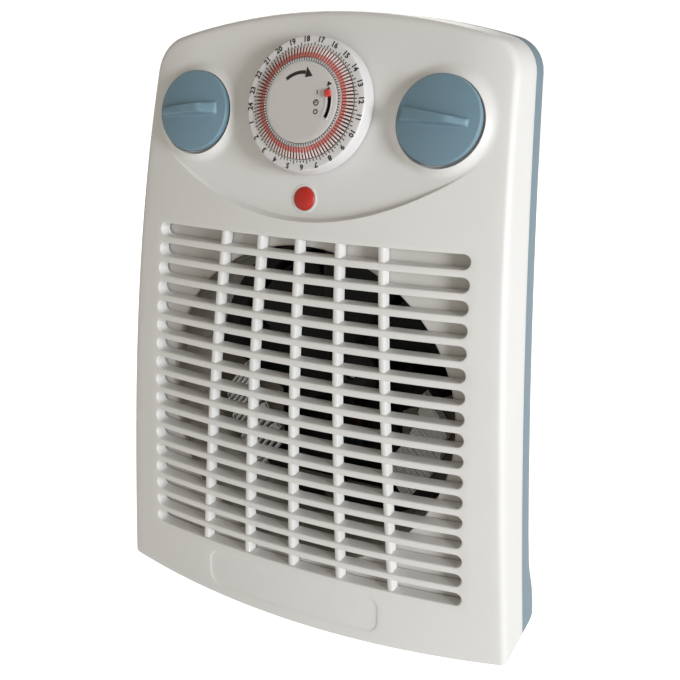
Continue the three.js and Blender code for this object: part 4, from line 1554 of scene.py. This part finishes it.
        lever = Mould()
        spin = turn_y(-SWITCH_HALF)
        lever.add(turned(rounded([(4.3, -10.4), (8, -10.4), (8, -9), (4.3, -9), (4.3, -10.4)],
                                 0.3, 2), 40), place @ spin)
        lever.add(block(7.4, SWITCH_ARC + 1.1, -10.4, -9, -1.3, 1.3, 0.3), place @ spin)
        lever.add(block(SWITCH_ARC - 1, SWITCH_ARC + 1, -13.4, -9.6, -0.8, 0.8, 0.25, 3),
                  place @ spin)
        lever.add(block(SWITCH_ARC - 1.8, SWITCH_ARC + 1.7, -14.8, -13.28, -1.9, 1.7, 0.7, 3),
                  place @ spin)
        make_piece("timer_lever", lever, "override_switch", ["Switch red"],
                   ["timer_switch"])


# ------------------------------------------------------------------ pilot light
class HEATER_OT_pilot(bpy.types.Operator):
    """Pilot lens in the control panel"""

    bl_idname = "heater.pilot"
    bl_label = "Pilot Light"

    def execute(self, context):
        place = lens_frame()
        profile = [(0, -1.9)]
        for k in range(1, 15):
            a = math.radians(90 * k / 14)
            profile.append((6.3 * math.sin(a), 0.1 - 2.0 * math.cos(a)))
        profile += [(6.3, 3.6), (6.0, 4.0), (0, 4.0)]
        lens = Mould().add(turned(profile, 64), place)
        make_piece("pilot_lens_detail", lens, "housing", ["Lens red"],
                   ["pilot_lens"], angle=50)
        return {"FINISHED"}


# ------------------------------------------------------------------ carried-over parts
INNER = {
    "Ground steel": ("fan_shaft",),
    "Sheet stack": ("motor_rotor", "motor_stator"),
    "Enamelled copper": ("motor_winding",),
    "Sintered bronze": ("motor_bearing_front", "motor_bearing_rear"),
    "Pressed mica": ("mica_board_left", "mica_board_right", "cutout_strap"),
    "Phenolic": ("thermal_cutout", "selector_switch", "thermostat_switch"),
    "Natural nylon": ("selector_shaft", "thermostat_shaft", "timer_body", "timer_pinion",
                      "terminal_block"),
    "Filter foam": ("dust_filter",),
    "Lamp glass": ("pilot_lamp",),
}


class HEATER_OT_inside(bpy.types.Operator):
    """Finishes for the frame's own inner parts"""

    bl_idname = "heater.inside"
    bl_label = "Inner Finishes"

    def execute(self, context):
        for name, nodes in INNER.items():
            finish = stock(name)
            for node in (frame["nodes"][node] for node in nodes):
                for part in node.material_slots:
                    part.material = finish
                if not node.material_slots:
                    node.data.materials.append(finish)
        return {"FINISHED"}


# ------------------------------------------------------------------ stage
def lamp(name, kind, energy, place, target, size=1.0, tint=(1, 1, 1)):
    data = bpy.data.lights.new(name, kind)
    data.energy = energy
    data.color = tint
    if kind == "AREA":
        data.shape = "DISK"
        data.size = size
    obj = bpy.data.objects.new(name, data)
    bpy.context.scene.collection.objects.link(obj)
    obj.location = place
    obj.rotation_euler = (Vector(target) - Vector(place)).to_track_quat("-Z", "Y").to_euler()
    return obj


class HEATER_OT_stage(bpy.types.Operator):
    """Pale floor, soft lights and camera"""

    bl_idname = "heater.stage"
    bl_label = "Stage"

    def execute(self, context):
        scene = context.scene
        scene.view_settings.view_transform = "Standard"
        scene.view_settings.look = "None"
        scene.view_settings.exposure = 0.0

        bm = bmesh.new()
        bmesh.ops.create_grid(bm, x_segments=8, y_segments=8, size=9)
        mesh = bpy.data.meshes.new("floor")
        bm.to_mesh(mesh)
        bm.free()
        floor = bpy.data.objects.new("floor", mesh)
        scene.collection.objects.link(floor)
        paper = bpy.data.materials.new("Pale paper")
        paper.use_nodes = True
        shader = paper.node_tree.nodes["Principled BSDF"]
        shader.inputs["Base Color"].default_value = (0.9, 0.9, 0.9, 1)
        shader.inputs["Roughness"].default_value = 0.9
        shader.inputs["Specular IOR Level"].default_value = 0.1
        shader.inputs["Emission Color"].default_value = (1, 1, 1, 1)
        sight = paper.node_tree.nodes.new("ShaderNodeLightPath")
        lift = paper.node_tree.nodes.new("ShaderNodeMath")
        lift.operation = "MULTIPLY_ADD"
        lift.inputs[1].default_value = 0.60
        lift.inputs[2].default_value = 0.24
        paper.node_tree.links.new(sight.outputs["Is Camera Ray"], lift.inputs[0])
        paper.node_tree.links.new(lift.outputs[0], shader.inputs["Emission Strength"])
        mesh.materials.append(paper)

        world = bpy.data.worlds.new("Soft room")
        scene.world = world
        world.use_nodes = True
        tree = world.node_tree
        backdrop = tree.nodes["Background"]
        backdrop.inputs["Color"].default_value = (1, 0.92, 0.78, 1)
        backdrop.inputs["Strength"].default_value = 0.34
        seen = tree.nodes.new("ShaderNodeBackground")
        seen.inputs["Color"].default_value = (1, 1, 1, 1)
        seen.inputs["Strength"].default_value = 1.1
        path = tree.nodes.new("ShaderNodeLightPath")
        mix = tree.nodes.new("ShaderNodeMixShader")
        tree.links.new(path.outputs["Is Camera Ray"], mix.inputs[0])
        tree.links.new(backdrop.outputs[0], mix.inputs[1])
        tree.links.new(seen.outputs[0], mix.inputs[2])
        tree.links.new(mix.outputs[0], tree.nodes["World Output"].inputs[0])

        lamp("key", "AREA", 57, (2.45, -0.98, 0.42), (0, 0, 0.17), 0.9, (0.97, 1.0, 1.03))
        lamp("front_fill", "AREA", 1.5, (0.2, -1.9, 0.3), (0, 0, 0.18), 1.3, (1.0, 0.93, 0.85))
        lamp("back_fill", "AREA", 12, (-0.9, 1.7, 1.2), (0, 0, 0.18), 1.2, (1, 1, 1))

        data = bpy.data.cameras.new("camera")
        data.sensor_width = 36
        data.lens = 47.70
        data.clip_start = 0.02
        data.clip_end = 60
        camera = bpy.data.objects.new("camera", data)
        scene.collection.objects.link(camera)
        camera.location = (0.241255, -0.45967, 0.330105)
        camera.rotation_euler = (math.radians(72.14), 0, math.radians(27.8124))
        scene.camera = camera
        return {"FINISHED"}


# ------------------------------------------------------------------ panel and start
class HEATER_PT_panel(bpy.types.Panel):
    """Lists the pieces of the heater"""

    bl_idname = "HEATER_PT_panel"
    bl_label = "Fan Convector Heater"
    bl_space_type = "VIEW_3D"
    bl_region_type = "UI"
    bl_category = "Heater"

    def draw(self, context):
        layout = self.layout
        for step in STEPS:
            layout.operator(step.bl_idname)
        for group in (context.scene.heater_sizes, context.scene.heater_colours):
            for name in group.__annotations__:
                layout.prop(group, name)


STEPS = (HEATER_OT_stage, HEATER_OT_front, HEATER_OT_rear, HEATER_OT_fixings,
         HEATER_OT_air_path, HEATER_OT_element, HEATER_OT_knobs, HEATER_OT_timer,
         HEATER_OT_pilot, HEATER_OT_inside)
CLASSES = (HeaterSizes, HeaterColours, *STEPS, HEATER_PT_panel)


def register():
    for cls in CLASSES:
        bpy.utils.register_class(cls)
    bpy.types.Scene.heater_sizes = bpy.props.PointerProperty(type=HeaterSizes)
    bpy.types.Scene.heater_colours = bpy.props.PointerProperty(type=HeaterColours)


def unregister():
    del bpy.types.Scene.heater_colours
    del bpy.types.Scene.heater_sizes
    for cls in reversed(CLASSES):
        bpy.utils.unregister_class(cls)


def main():
    register()
    for step in STEPS:
        group, name = step.bl_idname.split(".")
        if getattr(getattr(bpy.ops, group), name)() != {"FINISHED"}:
            raise RuntimeError(f"{step.bl_label} did not finish")


if __name__ == "__main__":
    main()
